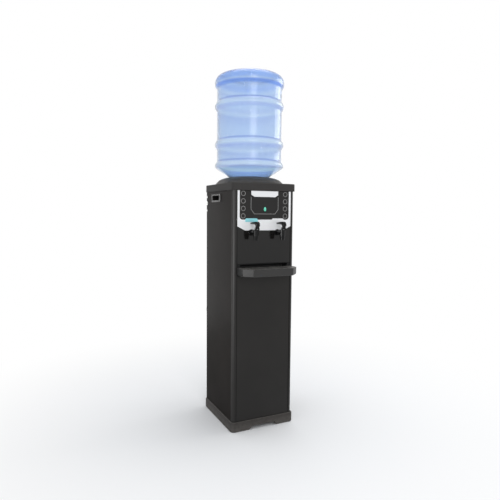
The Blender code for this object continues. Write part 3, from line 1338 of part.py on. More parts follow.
def make_bottle(holder):
    """Inverted bottle: a blown shell with two hoops, a shoulder ring and an open neck."""
    corner = (BOTTLE_BASE_RADIUS - BOTTLE_BASE_CORNER, BOTTLE_TOP - BOTTLE_BASE_CORNER)
    profile = [
        (0, BOTTLE_TOP - BOTTLE_DISH_DEPTH),
        (BOTTLE_DISH_RADIUS, BOTTLE_TOP - BOTTLE_DISH_DEPTH),
    ]
    profile += arc(corner, BOTTLE_BASE_CORNER, math.pi / 2, 0, CORNER_STEPS)
    ring_end = BOTTLE_TOP - BOTTLE_BASE_RING
    profile.append((BOTTLE_BASE_RADIUS, ring_end))
    slope = BOTTLE_BASE_RADIUS - BOTTLE_BODY_RADIUS
    profile.append((BOTTLE_BODY_RADIUS, ring_end - slope))
    for middle in (BOTTLE_RIB_TOP_Z, BOTTLE_RIB_MID_Z):
        profile += rib(middle, BOTTLE_RIB_HALF, BOTTLE_BODY_RADIUS, BOTTLE_RIB_PROUD)
    swell = BOTTLE_SHOULDER_RADIUS - BOTTLE_BODY_RADIUS
    half = BOTTLE_SHOULDER_TOP - BOTTLE_SHOULDER_Z
    shoulder = rib(BOTTLE_SHOULDER_Z, half, BOTTLE_BODY_RADIUS, swell, FINE_STEPS)
    profile += shoulder[:FINE_STEPS // 2 + 1]
    profile += [
        (BOTTLE_SHOULDER_EDGE_RADIUS, BOTTLE_SHOULDER_EDGE_Z),
        (BOTTLE_CONE_RADIUS, BOTTLE_CONE_Z),
    ]
    height = BOTTLE_CONE_Z - BOTTLE_NECK_TOP
    reach = BOTTLE_CONE_RADIUS - BOTTLE_NECK_RADIUS
    throat = []
    for step in range(1, BOTTLE_THROAT_STEPS + 1):
        angle = step / BOTTLE_THROAT_STEPS * math.pi / 2
        radius = BOTTLE_CONE_RADIUS - reach * math.sin(angle)
        throat.append((radius, BOTTLE_CONE_Z - height * (1 - math.cos(angle))))
    profile += throat
    lip_top = BOTTLE_NECK_END + BOTTLE_LIP_HEIGHT
    profile += [
        (BOTTLE_NECK_RADIUS, lip_top),
        (BOTTLE_NECK_RADIUS + BOTTLE_LIP_PROUD, lip_top - BOTTLE_LIP_PROUD),
        (BOTTLE_NECK_RADIUS + BOTTLE_LIP_PROUD, BOTTLE_NECK_END),
    ]
    inner = BOTTLE_BODY_RADIUS - BOTTLE_WALL
    lift = BOTTLE_WALL * 2
    hollow = [(BOTTLE_NECK_RADIUS - BOTTLE_NECK_WALL, BOTTLE_NECK_END)]
    hollow += [(radius - BOTTLE_NECK_WALL, z + BOTTLE_NECK_WALL) for radius, z in throat[::-1]]
    hollow += [
        (BOTTLE_CONE_RADIUS - BOTTLE_NECK_WALL, BOTTLE_CONE_Z + BOTTLE_NECK_WALL),
        (BOTTLE_SHOULDER_EDGE_RADIUS - lift - BOTTLE_WALL, BOTTLE_SHOULDER_EDGE_Z + BOTTLE_WALL),
        (inner, BOTTLE_SHOULDER_TOP),
        (inner, BOTTLE_TOP - BOTTLE_BASE_RING),
        (inner, corner[1]),
        (BOTTLE_DISH_RADIUS + lift, BOTTLE_TOP - BOTTLE_DISH_DEPTH - BOTTLE_WALL),
        (0, BOTTLE_TOP - BOTTLE_DISH_DEPTH - BOTTLE_WALL),
    ]
    shape = turned(profile + hollow, ROUND_SIDES)
    add("water_bottle", shape, "blue_bottle", holder, (0, 0, 0))


def make_tank(holder):
    """Reservoir with a flange under the cover and two outlets, and the baffle that stands in it."""
    outer = TANK_RADIUS + TANK_WALL
    profile = [
        (0, TANK_BASE),
        (outer - TANK_CORNER, TANK_BASE),
        (outer, TANK_BASE + TANK_CORNER),
        (outer, TANK_TOP - TANK_FLANGE),
        (TANK_FLANGE_RADIUS, TANK_TOP - TANK_FLANGE),
        (TANK_FLANGE_RADIUS, TANK_TOP),
        (TANK_RADIUS, TANK_TOP),
        (TANK_RADIUS, TANK_BASE + TANK_CORNER),
        (TANK_RADIUS - TANK_CORNER, TANK_BASE + TANK_WALL),
        (0, TANK_BASE + TANK_WALL),
    ]
    tank = add("cold_tank", turned(profile, ROUND_SIDES), "tank_plastic", holder)
    low = TANK_BASE - OUTLET_DROP
    floor = TANK_BASE + TANK_WALL
    spouts = [
        moved(rod(OUTLET_RADIUS, low, floor - TANK_WALL / 2), (place, 0, 0))
        for place in (0, COLD_OUTLET_X)
    ]
    combine(tank, tool("tank outlet form", joined(spouts), holder), "UNION")
    bores = [
        moved(rod(OUTLET_BORE, low - OVERRUN, floor + OVERRUN, PIN_SIDES), (place, 0, 0))
        for place in (0, COLD_OUTLET_X)
    ]
    combine(tank, tool("tank outlet bores", joined(bores), holder), "DIFFERENCE")

    disc = TANK_RADIUS - BAFFLE_PLAY
    foot = floor + GAP
    tube = [
        (BAFFLE_TUBE_BORE, foot),
        (BAFFLE_TUBE_RADIUS, foot),
        (BAFFLE_TUBE_RADIUS, BAFFLE_Z),
        (disc, BAFFLE_Z),
        (disc, BAFFLE_Z + BAFFLE_THICKNESS),
        (BAFFLE_TUBE_BORE, BAFFLE_Z + BAFFLE_THICKNESS),
    ]
    baffle = add("baffle_disc", turned(tube, MEDIUM_SIDES), "tank_plastic", holder)
    holes = []
    for i in range(BAFFLE_HOLES):
        angle = 2 * math.pi * i / BAFFLE_HOLES
        middle = (BAFFLE_HOLE_CIRCLE * math.cos(angle), BAFFLE_HOLE_CIRCLE * math.sin(angle), 0)
        hole = rod(BAFFLE_HOLE_RADIUS, BAFFLE_Z - OVERRUN, BAFFLE_Z + 2 * OVERRUN, PIN_SIDES)
        holes.append(moved(hole, middle))
    combine(baffle, tool("baffle holes", joined(holes), holder), "DIFFERENCE")


def coil_path():
    """The evaporator's helix, straight for one tube diameter at each end."""
    radius = TANK_RADIUS + TANK_WALL + GAP + COIL_TUBE_RADIUS / math.cos(math.pi / COIL_SIDES)
    radius = radius / math.cos(math.pi / COIL_STEPS)
    total = COIL_TURNS * COIL_STEPS
    points = []
    for i in range(total + 1):
        angle = math.pi / 2 + 2 * math.pi * i / COIL_STEPS
        level = COIL_BASE + COIL_PITCH * i / COIL_STEPS
        points.append(Vector((radius * math.cos(angle), radius * math.sin(angle), level)))
    start = points[0] + (points[0] - points[1]).normalized() * 2 * COIL_TUBE_RADIUS
    end = points[-1] + (points[-1] - points[-2]).normalized() * 2 * COIL_TUBE_RADIUS
    return [start] + points + [end]


def least_gap(path, radius, apart):
    """The narrowest space between points of a wound tube that are not neighbours along it."""
    closest = math.inf
    for i, here in enumerate(path):
        for other in path[i + apart:]:
            closest = min(closest, (here - other).length)
    return closest - 2 * radius


def make_evaporator(holder):
    """Copper tube wound round the reservoir, inside the insulation."""
    path = coil_path()
    shape = swept(path, COIL_TUBE_RADIUS, COIL_SIDES)
    add("evaporator_coil", shape, "copper", holder)
    gap = least_gap(path, COIL_TUBE_RADIUS, COIL_STEPS // 2)
    print(f"evaporator coil: {COIL_TURNS} turns, least gap to itself {gap * 1000:.2f} mm")


def make_foam(holder):
    """Insulation cup under and around the reservoir, bored for its outlets and its tubes."""
    wall = FOAM_BORE
    floor = TANK_BASE - GAP
    profile = [
        (0, FOAM_BASE),
        (FOAM_RADIUS, FOAM_BASE),
        (FOAM_RADIUS, FOAM_TOP),
        (wall, FOAM_TOP),
        (wall, floor),
        (0, floor),
    ]
    foam = add("tank_insulation", turned(profile, ROUND_SIDES), "foam", holder)
    holes = [
        moved(rod(OUTLET_RADIUS + SEAM, FOAM_BASE - OVERRUN, floor + OVERRUN, PIN_SIDES), (place, 0, 0))
        for place in (0, COLD_OUTLET_X)
    ]
    port = rod(FOAM_PORT_RADIUS, -FOAM_RADIUS - OVERRUN, -wall + OVERRUN, PIN_SIDES, "Y")
    holes.append(moved(port, (0, 0, COIL_BASE)))
    combine(foam, tool("insulation holes", joined(holes), holder), "DIFFERENCE")


def make_shelf(holder):
    """Folded steel shelf between the side panels, which carries the insulated reservoir."""
    half_x = HALF_WIDTH - SKIN - GAP
    top = FOAM_BASE - GAP
    path = [
        (-SHELF_HALF_DEPTH, top - SHELF_FLANGE),
        (-SHELF_HALF_DEPTH, top),
        (SHELF_HALF_DEPTH, top),
        (SHELF_HALF_DEPTH, top - SHELF_FLANGE),
    ]
    outline = strip(path, -SHELF_SHEET)
    shelf = add("tank_shelf", prism(outline, -half_x, half_x, "yz"), "zinc_steel", holder)
    hole = rod(SHELF_HOLE_RADIUS, top - SHELF_SHEET - OVERRUN, top + OVERRUN, MEDIUM_SIDES)
    combine(shelf, tool("shelf hole", hole, holder), "DIFFERENCE")


def make_hose(label, x, outlet_x, holder):
    """Soft tube from an outlet under the reservoir to the back of its tap."""
    start_z = TANK_BASE - OUTLET_DROP - GAP
    tail_y = PANEL_BACK_Y + TAP_SHANK_LENGTH + TAP_BARB_LENGTH + GAP
    back_y = tail_y + HOSE_RUN_BACK
    low = start_z - HOSE_DIP
    middle_y = back_y / 2
    places = [
        (outlet_x, 0, start_z),
        (outlet_x, 0, start_z - HOSE_BEND / 2),
        ((outlet_x + x) / 2, middle_y, low),
        (x, back_y - HOSE_BEND / 2, start_z),
        (x, back_y, (start_z + TAP_Z) / 2),
        (x, back_y, TAP_Z - HOSE_BEND),
        (x, tail_y + HOSE_BEND / 2, TAP_Z),
        (x, tail_y, TAP_Z),
    ]
    shape = swept(flowing(places, FLOW_STEPS), HOSE_RADIUS, HOSE_SIDES)
    add(f"hose_{label}", shape, "clear_silicone", holder)


def make_rear_panel(holder):
    """Steel back of the cabinet, inside the folded edges, above the open compressor bay."""
    half = HALF_WIDTH - SKIN - REAR_PANEL_INSET
    outline = [
        (-half, REAR_PANEL_BASE),
        (half, REAR_PANEL_BASE),
        (half, WALL_TOP),
        (-half, WALL_TOP),
    ]
    panel = prism(outline, REAR_PANEL_IN_Y, REAR_PANEL_OUT_Y, "xz")
    back = add("rear_panel", panel, "zinc_steel", holder)
    low = -REAR_PANEL_OUT_Y - OVERRUN
    high = -REAR_PANEL_IN_Y + OVERRUN
    holes = [
        moved(rod(radius, low, high, SMALL_SIDES, "Y"), (x, 0, z))
        for radius, x, z in (
            (THERMOSTAT_BUSH_RADIUS + SEAM, THERMOSTAT_X, THERMOSTAT_Z),
            (GLAND_NECK_RADIUS + GAP, GLAND_X, GLAND_Z),
        )
    ]
    combine(back, tool("rear holes", joined(holes), holder), "DIFFERENCE")


def condenser_path():
    """The serpentine from its inlet riser, to and fro across the back, down to its outlet."""
    turn_radius = CONDENSER_PITCH / 2
    straight = CONDENSER_HALF_WIDTH - turn_radius
    elbow = CONDENSER_BOTTOM - CONDENSER_OUTLET_Z

    def turn(middle, radius, start, end):
        return arc(middle, radius, start, end, CONDENSER_TURN_STEPS)

    corner = (-CONDENSER_RISER_X + CONDENSER_BEND, CONDENSER_TOP - CONDENSER_BEND)
    path = [(-CONDENSER_RISER_X, CONDENSER_INLET_Z)]
    path += turn(corner, CONDENSER_BEND, math.pi, math.pi / 2)
    for run in range(CONDENSER_RUNS - 1):
        level = CONDENSER_TOP - turn_radius - run * CONDENSER_PITCH
        side = -1 if run % 2 else 1
        last = 1.5 * math.pi if run % 2 else -math.pi / 2
        path += turn((side * straight, level), turn_radius, math.pi / 2, last)
    middle = (CONDENSER_HALF_WIDTH - elbow, CONDENSER_OUTLET_Z)
    path += turn(middle, elbow, math.pi / 2, 0)
    tail = CONDENSER_TAIL / 2
    places = [Vector((x, CONDENSER_Y, z)) for x, z in path]
    places.append(Vector((CONDENSER_HALF_WIDTH, DRIER_Y, CONDENSER_OUTLET_Z - tail)))
    places.append(Vector((CONDENSER_HALF_WIDTH, DRIER_Y, CONDENSER_TAIL_END)))
    return places


def make_condenser(holder):
    """Wire-on-tube condenser: a serpentine with upright wires welded on its two faces."""
    tube = swept(condenser_path(), CONDENSER_TUBE_RADIUS, CONDENSER_TUBE_SIDES)
    condenser = add("condenser", tube, "black_enamel", holder)
    clear = CONDENSER_TUBE_RADIUS + GAP + WIRE_RADIUS
    welded = CONDENSER_TUBE_RADIUS * math.cos(math.pi / CONDENSER_TUBE_SIDES) + WIRE_RADIUS / 4
    levels = (
        (CONDENSER_TOP + WIRE_END, welded),
        (CONDENSER_TOP - WIRE_WELD_REACH, welded),
        (CONDENSER_TOP - WIRE_WELD_REACH - WIRE_WELD_SLOPE, clear),
        (CONDENSER_BOTTOM + WIRE_WELD_REACH + WIRE_WELD_SLOPE, clear),
        (CONDENSER_BOTTOM + WIRE_WELD_REACH, welded),
        (CONDENSER_BOTTOM - WIRE_END, welded),
    )
    wires = []
    for i in range(WIRE_COUNT):
        side = 1 if i % 2 else -1
        x = (i - (WIRE_COUNT - 1) / 2) * WIRE_PITCH
        path = [(x, CONDENSER_Y + side * out, z) for z, out in levels]
        wires.append(swept(path, WIRE_RADIUS, WIRE_SIDES, math.pi / 4))
    combine(condenser, tool("condenser wires", joined(wires), holder), "UNION")


def make_brackets(holder):
    """Bent zinc straps, one near each corner, that stand the condenser off the cabinet."""
    outer = HALF_WIDTH - BRACKET_EDGE_INSET
    foot_y = BACK_Y + GAP
    arm_y = CONDENSER_Y - CONDENSER_TUBE_RADIUS - GAP - BRACKET_SHEET
    knee = outer - BRACKET_FOOT
    path = [(outer, foot_y), (knee, foot_y), (knee, arm_y), (knee - BRACKET_ARM, arm_y)]
    outline = strip(path, -BRACKET_SHEET)
    top = CONDENSER_TOP - CONDENSER_PITCH / 2
    for level, z in (("upper", top), ("lower", top - BRACKET_LOWER_TURN * CONDENSER_PITCH)):
        for side, sign in (("left", -1), ("right", 1)):
            shape = prism(
                [(sign * x, y) for x, y in outline],
                z - BRACKET_HEIGHT / 2,
                z + BRACKET_HEIGHT / 2,
            )
            add(f"condenser_bracket_{level}_{side}", shape, "zinc_steel", holder)


def make_compressor(holder):
    """Hermetic compressor: a welded oval shell on a foot plate, with two pipe stubs at the back."""
    at = (COMPRESSOR_X, COMPRESSOR_Y, 0)
    top, base, seam = COMPRESSOR_SHELL_TOP, COMPRESSOR_SHELL_BASE, COMPRESSOR_SEAM_Z
    profile = [(0.0, top)]
    for step in range(1, DISH_STEPS + 1):
        angle = step / DISH_STEPS * math.pi / 2
        profile.append((math.sin(angle), top - COMPRESSOR_DISH * (1 - math.cos(angle))))
    seam_share = 1 + COMPRESSOR_SEAM_PROUD / COMPRESSOR_HALF_X
    profile += [
        (1.0, seam + COMPRESSOR_SEAM_HALF),
        (seam_share, seam + COMPRESSOR_SEAM_HALF),
        (seam_share, seam - COMPRESSOR_SEAM_HALF),
        (1.0, seam - COMPRESSOR_SEAM_HALF),
    ]
    for step in range(DISH_STEPS):
        angle = step / DISH_STEPS * math.pi / 2
        profile.append((math.cos(angle), base + COMPRESSOR_DISH * (1 - math.sin(angle))))
    profile.append((0.0, base))
    shell = turned(profile, MEDIUM_SIDES)
    stretch = Matrix.Diagonal((COMPRESSOR_HALF_X, COMPRESSOR_HALF_Y, 1, 1))
    bmesh.ops.transform(shell, matrix=stretch, verts=shell.verts)
    body = add("compressor", shell, "black_enamel", holder, at)

    plate_z = PAN_TOP + GAP + GROMMET_HEIGHT - GROMMET_WAIST / 2 + GAP
    legs = []
    for sign in (-1, 1):
        outline = rounded_rectangle(
            LEG_HALF_X + LEG_WIDTH / 2, LEG_WIDTH / 2, LEG_RADIUS, centre=(0, sign * LEG_HALF_Y)
        )
        legs.append(prism(outline, plate_z, plate_z + LEG_PLATE))
    bridge = rounded_rectangle(BRIDGE_HALF_X, LEG_HALF_Y, LEG_RADIUS)
    legs.append(prism(bridge, plate_z + LEG_PLATE / 4, base + COMPRESSOR_SEAM_HALF))
    for index, leg in enumerate(legs):
        combine(body, tool(f"compressor leg {index}", leg, holder, at), "UNION")
    eyes = [
        moved(rod(GROMMET_WAIST / 2 + GAP, plate_z - OVERRUN, plate_z + 2 * OVERRUN, PIN_SIDES), place)
        for place in grommet_places()
    ]
    combine(body, tool("compressor eyes", joined(eyes), holder, at), "DIFFERENCE")
    reach = COMPRESSOR_HALF_Y + STUB_LENGTH
    stubs = [
        moved(rod(STUB_RADIUS, -reach, -COMPRESSOR_HALF_Y / 2, PIN_SIDES, "Y"), (x, 0, STUB_Z))
        for x in (-STUB_X, STUB_X)
    ]
    combine(body, tool("compressor stubs", joined(stubs), holder, at), "UNION")


def grommet_places():
    """The four mounting points, from the compressor's centre line."""
    return [(sx * LEG_HALF_X, sy * LEG_HALF_Y, 0) for sx in (-1, 1) for sy in (-1, 1)]


def make_grommets(holder):
    """Rubber mounts between the pan and the compressor's feet, with a nose through each foot."""
    base = PAN_TOP + GAP
    shoulder = base + GROMMET_HEIGHT - GROMMET_WAIST / 2
    profile = [
        (0, base),
        (GROMMET_RADIUS, base),
        (GROMMET_RADIUS, base + GROMMET_WAIST / 2),
        (GROMMET_NECK_RADIUS, shoulder),
        (GROMMET_WAIST / 2, shoulder),
        (GROMMET_WAIST / 2, shoulder + LEG_PLATE + GROMMET_WAIST / 4),
        (0, shoulder + LEG_PLATE + GROMMET_WAIST / 4),
    ]
    names = ("front_left", "rear_left", "front_right", "rear_right")
    for label, (x, y, _) in zip(names, grommet_places()):
        shape = turned(profile, PIN_SIDES)
        at = (COMPRESSOR_X + x, COMPRESSOR_Y + y, 0)
        add(f"compressor_grommet_{label}", shape, "soft_black", holder, at)


def make_relay_box(holder):
    """Starting relay and overload cover on the compressor's flank."""
    near = (COMPRESSOR_HALF_X + COMPRESSOR_SEAM_PROUD) * math.cos(math.pi / MEDIUM_SIDES) + GAP
    outline = rounded_rectangle(RELAY_WIDTH / 2, RELAY_DEPTH / 2, TRAY_FILLET)
    middle = (COMPRESSOR_X + near + RELAY_WIDTH / 2, COMPRESSOR_Y, 0)
    shape = prism(outline, RELAY_Z, RELAY_Z + RELAY_HEIGHT)
    box = add("relay_box", shape, "black_plastic", holder, middle)
    soften(box, TRIM_EDGE * 2)


def stub_end(sign):
    """The open end of one of the compressor's pipe stubs, in cabinet coordinates."""
    return Vector((COMPRESSOR_X + sign * STUB_X, COMPRESSOR_Y + COMPRESSOR_HALF_Y + STUB_LENGTH, STUB_Z))


def make_lines(holder):
    """Discharge, suction and capillary tubes, and the filter drier under the condenser's outlet."""
    start = stub_end(-1) + Vector((0, GAP, 0))
    inlet = Vector((-CONDENSER_RISER_X, CONDENSER_Y, CONDENSER_INLET_Z - GAP))
    down = Vector((0, 0, -STUB_LENGTH))
    out = Vector((0, STUB_LENGTH, 0))
    middle = (start + inlet) / 2 + down
    places = [start, start + out, middle, inlet + 2 * down, inlet]
    shape = swept(flowing(places, FLOW_STEPS), LINE_RADIUS, LINE_SIDES)
    add("discharge_line", shape, "copper", holder)

    start = stub_end(1) + Vector((0, GAP, 0))
    port = Vector((-LINE_RADIUS - SEAM, FOAM_BORE, COIL_BASE))
    up = Vector((port.x, BEHIND_FOAM_Y, port.z))
    places = [
        start,
        start + out / 2,
        Vector(((start.x + up.x) / 2, up.y, start.z + 2 * STUB_LENGTH)),
        Vector((up.x, up.y, (start.z + up.z) / 2)),
        up + down,
        (up + port) / 2 - Vector((0, 0, LINE_DIP)),
        port,
    ]
    shape = swept(flowing(places, FLOW_STEPS), LINE_RADIUS, LINE_SIDES)
    add("suction_line", shape, "copper", holder)

    top = CONDENSER_TAIL_END - GAP
    neck_top = top - DRIER_NECK
    neck_base = neck_top - DRIER_LENGTH
    base = neck_base - DRIER_NECK
    shoulder = DRIER_RADIUS / 2
    profile = [
        (0, top),
        (DRIER_NECK_RADIUS, top),
        (DRIER_NECK_RADIUS, neck_top),
        (DRIER_RADIUS, neck_top - shoulder),
        (DRIER_RADIUS, neck_base + shoulder),
        (DRIER_NECK_RADIUS, neck_base),
        (DRIER_NECK_RADIUS, base),
        (0, base),
    ]
    drier_at = (CONDENSER_HALF_WIDTH, DRIER_Y, 0)
    add("filter_drier", turned(profile, SMALL_SIDES), "copper", holder, drier_at)

    start = Vector((CONDENSER_HALF_WIDTH, DRIER_Y, base - GAP))
    port = Vector((LINE_RADIUS + SEAM, FOAM_BORE, COIL_BASE))
    up = Vector((port.x, BEHIND_FOAM_Y, port.z))
    low = start.z + 2 * down.z
    beside = THERMOSTAT_X - THERMOSTAT_HALF_X - CAPILLARY_PASS
    places = [
        start,
        start + down,
        Vector((start.x - STUB_LENGTH, up.y, low)),
        Vector((start.x / 2, up.y, low)),
        Vector((beside, up.y, low + CAPILLARY_RISE)),
        Vector((up.x, up.y, (start.z + up.z) / 2)),
        up + down,
        (up + port) / 2 - Vector((0, 0, LINE_DIP)),
        port,
    ]
    shape = swept(flowing(places, FLOW_STEPS), CAPILLARY_RADIUS, CAPILLARY_SIDES)
    add("capillary_tube", shape, "copper", holder)


def make_thermostat(holder, knob_holder):
    """Thermostat case behind the rear panel, and its knob outside."""
    outline = rounded_rectangle(THERMOSTAT_HALF_X, THERMOSTAT_HALF_Z, LENS_DOME)
    front = REAR_PANEL_IN_Y - GAP - THERMOSTAT_DEPTH
    back = REAR_PANEL_IN_Y - GAP
    at = (THERMOSTAT_X, 0, THERMOSTAT_Z)
    case = add("thermostat_body", prism(outline, front, back, "xz"), "black_plastic", holder, at)
    bush = rod(THERMOSTAT_BUSH_RADIUS, -BACK_Y, -front - THERMOSTAT_DEPTH / 2, SMALL_SIDES, "Y")
    combine(case, tool("thermostat bush", bush, holder, at), "UNION")
    bore_radius = KNOB_SHAFT_RADIUS + KNOB_SHAFT_PLAY
    bore = rod(bore_radius, -BACK_Y - OVERRUN, -front - THERMOSTAT_DEPTH / 2, SMALL_SIDES, "Y")
    combine(case, tool("thermostat bore", bore, holder, at), "DIFFERENCE")

    face = BACK_Y + GAP
    shaft = -THERMOSTAT_DEPTH / 2
    profile = [
        (0, shaft),
        (KNOB_SHAFT_RADIUS, shaft),
        (KNOB_SHAFT_RADIUS, 0),
        (KNOB_RADIUS, 0),
        (KNOB_RADIUS, KNOB_SKIRT),
        (KNOB_GRIP_RADIUS, KNOB_SKIRT + TRIM_EDGE),
        (KNOB_GRIP_RADIUS - TRIM_EDGE, KNOB_HEIGHT - TRIM_EDGE),
        (KNOB_GRIP_RADIUS - 2 * TRIM_EDGE, KNOB_HEIGHT),
        (0, KNOB_HEIGHT),
    ]
    shape = turned([(radius, -height) for radius, height in profile], SMALL_SIDES, "Y")
    knob_at = (THERMOSTAT_X, face, THERMOSTAT_Z)
    knob = add("thermostat_knob", shape, "black_plastic", knob_holder, knob_at)
    ridge = [
        (-KNOB_RIDGE_HALF, 0),
        (KNOB_RIDGE_HALF, 0),
        (KNOB_RIDGE_HALF, KNOB_GRIP_RADIUS),
        (-KNOB_RIDGE_HALF, KNOB_GRIP_RADIUS),
    ]
    pointer = prism(ridge, KNOB_SKIRT / 2, KNOB_HEIGHT + KNOB_RIDGE_PROUD, "xz")
    combine(knob, tool("knob pointer", pointer, knob_holder, knob_at), "UNION")


def make_gland(holder):
    """Plain bushed opening in the rear panel for the mains lead."""
    inside = REAR_PANEL_IN_Y - GAP
    outside = REAR_PANEL_OUT_Y + GAP
    profile = [
        (GLAND_BORE_RADIUS, outside + GLAND_PROUD),
        (GLAND_NECK_RADIUS, outside + GLAND_PROUD),
        (GLAND_FLANGE_RADIUS, outside + GLAND_PROUD / 2),
        (GLAND_FLANGE_RADIUS, outside),
        (GLAND_NECK_RADIUS, outside),
        (GLAND_NECK_RADIUS, inside),
        (GLAND_FLANGE_RADIUS, inside),
        (GLAND_FLANGE_RADIUS, inside - GLAND_PROUD / 2),
        (GLAND_BORE_RADIUS, inside - GLAND_PROUD / 2),
    ]
    shape = turned([(radius, -y) for radius, y in profile], SMALL_SIDES, "Y")
    add("cord_gland", shape, "soft_black", holder, (GLAND_X, 0, GLAND_Z))


def main():
    """Builds the cooler under one empty for each body that moves."""
    clear_scene()
    root = empty("cooler")
    cabinet = empty("cabinet", parent=root)
    collar = empty("collar_body", parent=cabinet)
    bottle = empty("bottle_body", (0, 0, cone_z(COLLAR_RIM_RADIUS)), collar)
    tray = empty("tray_body", (0, FRONT_Y, TRAY_BASE), cabinet)
    grille = empty("grille_body", (0, FRONT_Y, TRAY_TOP), tray)
    knob = empty("knob_body", (THERMOSTAT_X, BACK_Y, THERMOSTAT_Z), cabinet)
    travels = ((tray, TRAY_TRAVEL), (grille, GRILLE_LIFT), (collar, COLLAR_LIFT), (bottle, BOTTLE_LIFT))
    for holder, travel in travels:
        holder["travel"] = travel
    knob["turn"] = KNOB_TURN

    make_plinth(cabinet)
    make_pan(cabinet)
    for side, sign in (("left", -1), ("right", 1)):
        make_post(side, sign, cabinet)
        make_side_panel(side, sign, cabinet)
        make_grip_cup(side, sign, cabinet)
    make_front_panels(cabinet)
    make_tray_housing(cabinet)
    make_trims(cabinet)
    make_tray(tray)
    make_grille(grille)
    for label, x, outlet_x in (("cold", -TAP_X, COLD_OUTLET_X), ("natural", TAP_X, 0)):
        lever = empty(f"lever_body_{label}", (x, PIVOT_Y, TAP_Z + PIVOT_Z), cabinet)
        stem = empty(f"stem_body_{label}", (x, VALVE_Y, TAP_Z), cabinet)
        lever["turn"] = LEVER_ANGLE
        stem["travel"] = STEM_LIFT
        make_tap_body(label, x, cabinet)
        make_bonnet(label, x, cabinet)
        make_stem(label, x, stem)
        make_lever(label, x, lever)
        make_hose(label, x, outlet_x, cabinet)
    make_cover(cabinet)
    make_collar(collar)
    make_bottle(bottle)
    make_tank(cabinet)
    make_evaporator(cabinet)
    make_foam(cabinet)
    make_shelf(cabinet)
    make_rear_panel(cabinet)
    make_condenser(cabinet)
    make_brackets(cabinet)
    make_compressor(cabinet)
    make_grommets(cabinet)
    make_relay_box(cabinet)
    make_lines(cabinet)
    make_thermostat(cabinet, knob)
    make_gland(cabinet)
    root.location.y = FRAME_SHIFT_Y
    bpy.context.view_layer.update()


main()
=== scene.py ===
import math

import bmesh
import bpy
from mathutils import Matrix, Vector


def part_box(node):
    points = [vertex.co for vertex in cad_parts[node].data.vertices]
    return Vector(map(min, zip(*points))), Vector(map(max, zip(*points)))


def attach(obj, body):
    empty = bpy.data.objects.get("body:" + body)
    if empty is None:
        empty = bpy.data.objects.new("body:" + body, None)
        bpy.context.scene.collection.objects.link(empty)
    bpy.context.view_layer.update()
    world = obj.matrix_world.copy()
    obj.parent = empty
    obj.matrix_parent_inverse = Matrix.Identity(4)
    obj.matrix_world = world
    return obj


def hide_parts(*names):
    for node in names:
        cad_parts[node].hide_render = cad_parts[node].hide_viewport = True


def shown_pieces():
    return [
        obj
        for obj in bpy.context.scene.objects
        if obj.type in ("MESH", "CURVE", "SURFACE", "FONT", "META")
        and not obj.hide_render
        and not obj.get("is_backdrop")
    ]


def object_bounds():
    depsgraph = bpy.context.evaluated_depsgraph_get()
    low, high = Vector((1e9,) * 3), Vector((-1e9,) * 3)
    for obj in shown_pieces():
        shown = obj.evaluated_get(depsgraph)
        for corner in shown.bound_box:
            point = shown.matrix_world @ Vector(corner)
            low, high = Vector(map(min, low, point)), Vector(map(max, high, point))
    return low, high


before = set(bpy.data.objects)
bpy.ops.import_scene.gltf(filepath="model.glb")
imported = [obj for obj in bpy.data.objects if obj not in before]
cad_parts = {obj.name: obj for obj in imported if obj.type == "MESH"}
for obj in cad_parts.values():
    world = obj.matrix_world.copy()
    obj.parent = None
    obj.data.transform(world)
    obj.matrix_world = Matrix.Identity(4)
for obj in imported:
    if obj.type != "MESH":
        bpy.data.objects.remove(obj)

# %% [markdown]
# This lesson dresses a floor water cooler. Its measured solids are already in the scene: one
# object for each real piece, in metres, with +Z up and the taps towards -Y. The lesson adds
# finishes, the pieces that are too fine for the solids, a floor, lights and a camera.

for name in ("Cube", "Light", "Camera"):
    if name in bpy.data.objects:
        bpy.data.objects.remove(bpy.data.objects[name], do_unlink=True)
solid_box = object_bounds()
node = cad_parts


def middle_of(label):
    """The middle of one measured piece's box, as x, y and z."""
    low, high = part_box(label)
    return [(low[axis] + high[axis]) / 2 for axis in range(3)]


AXIS_Y = middle_of("water_bottle")[1]
print("solids reach from", [round(v, 4) for v in solid_box[0]], "to", [round(v, 4) for v in solid_box[1]])
print("the bottle's axis stands at y", round(AXIS_Y, 5))

# %% [markdown]
# The camera stands where the photographer stood: a little to the cooler's left, at about chest
# height, tilted down slightly. Its place, its angles and the half-pixel shift of its lens came
# from matching the edges of the cabinet in the picture. The matrix is written out from three
# directions, because that keeps the tiny roll that a Track To constraint would lose.

# %% Camera
FOCAL_PIXELS = 475.54
FRAME_PIXELS = 500
CAMERA_PLACE = (-0.8378, -1.7705 + AXIS_Y, 0.8441)
yaw, pitch, roll = (math.radians(angle) for angle in (25.58, 4.403, 0.471))
forward = Vector((math.sin(yaw) * math.cos(pitch), math.cos(yaw) * math.cos(pitch), -math.sin(pitch)))
level = Vector((math.cos(yaw), -math.sin(yaw), 0))
upward = level.cross(forward)
right = math.cos(roll) * level + math.sin(roll) * upward
top = -math.sin(roll) * level + math.cos(roll) * upward
lens = bpy.data.cameras.new("studio camera")
lens.sensor_width = 36
lens.lens = FOCAL_PIXELS * lens.sensor_width / FRAME_PIXELS
lens.shift_x = -0.5 / FRAME_PIXELS
camera = bpy.data.objects.new("studio camera", lens)
turned = Matrix((right, top, -forward)).transposed().to_4x4()
camera.matrix_world = Matrix.Translation(CAMERA_PLACE) @ turned
bpy.context.scene.collection.objects.link(camera)
bpy.context.scene.camera = camera
print("camera lens", round(lens.lens, 2), "mm")

# %% [markdown]
# A white studio needs no strong lamps. The backdrop is the world itself: rays from the camera,
# from a reflection or through the bottle see plain white, and all other rays see a soft grey that
# lights the object from everywhere. The lamps in the next cell then only shape it. A photograph
# of a real studio could light the scene too, but two plain values are easier to set against the
# picture.

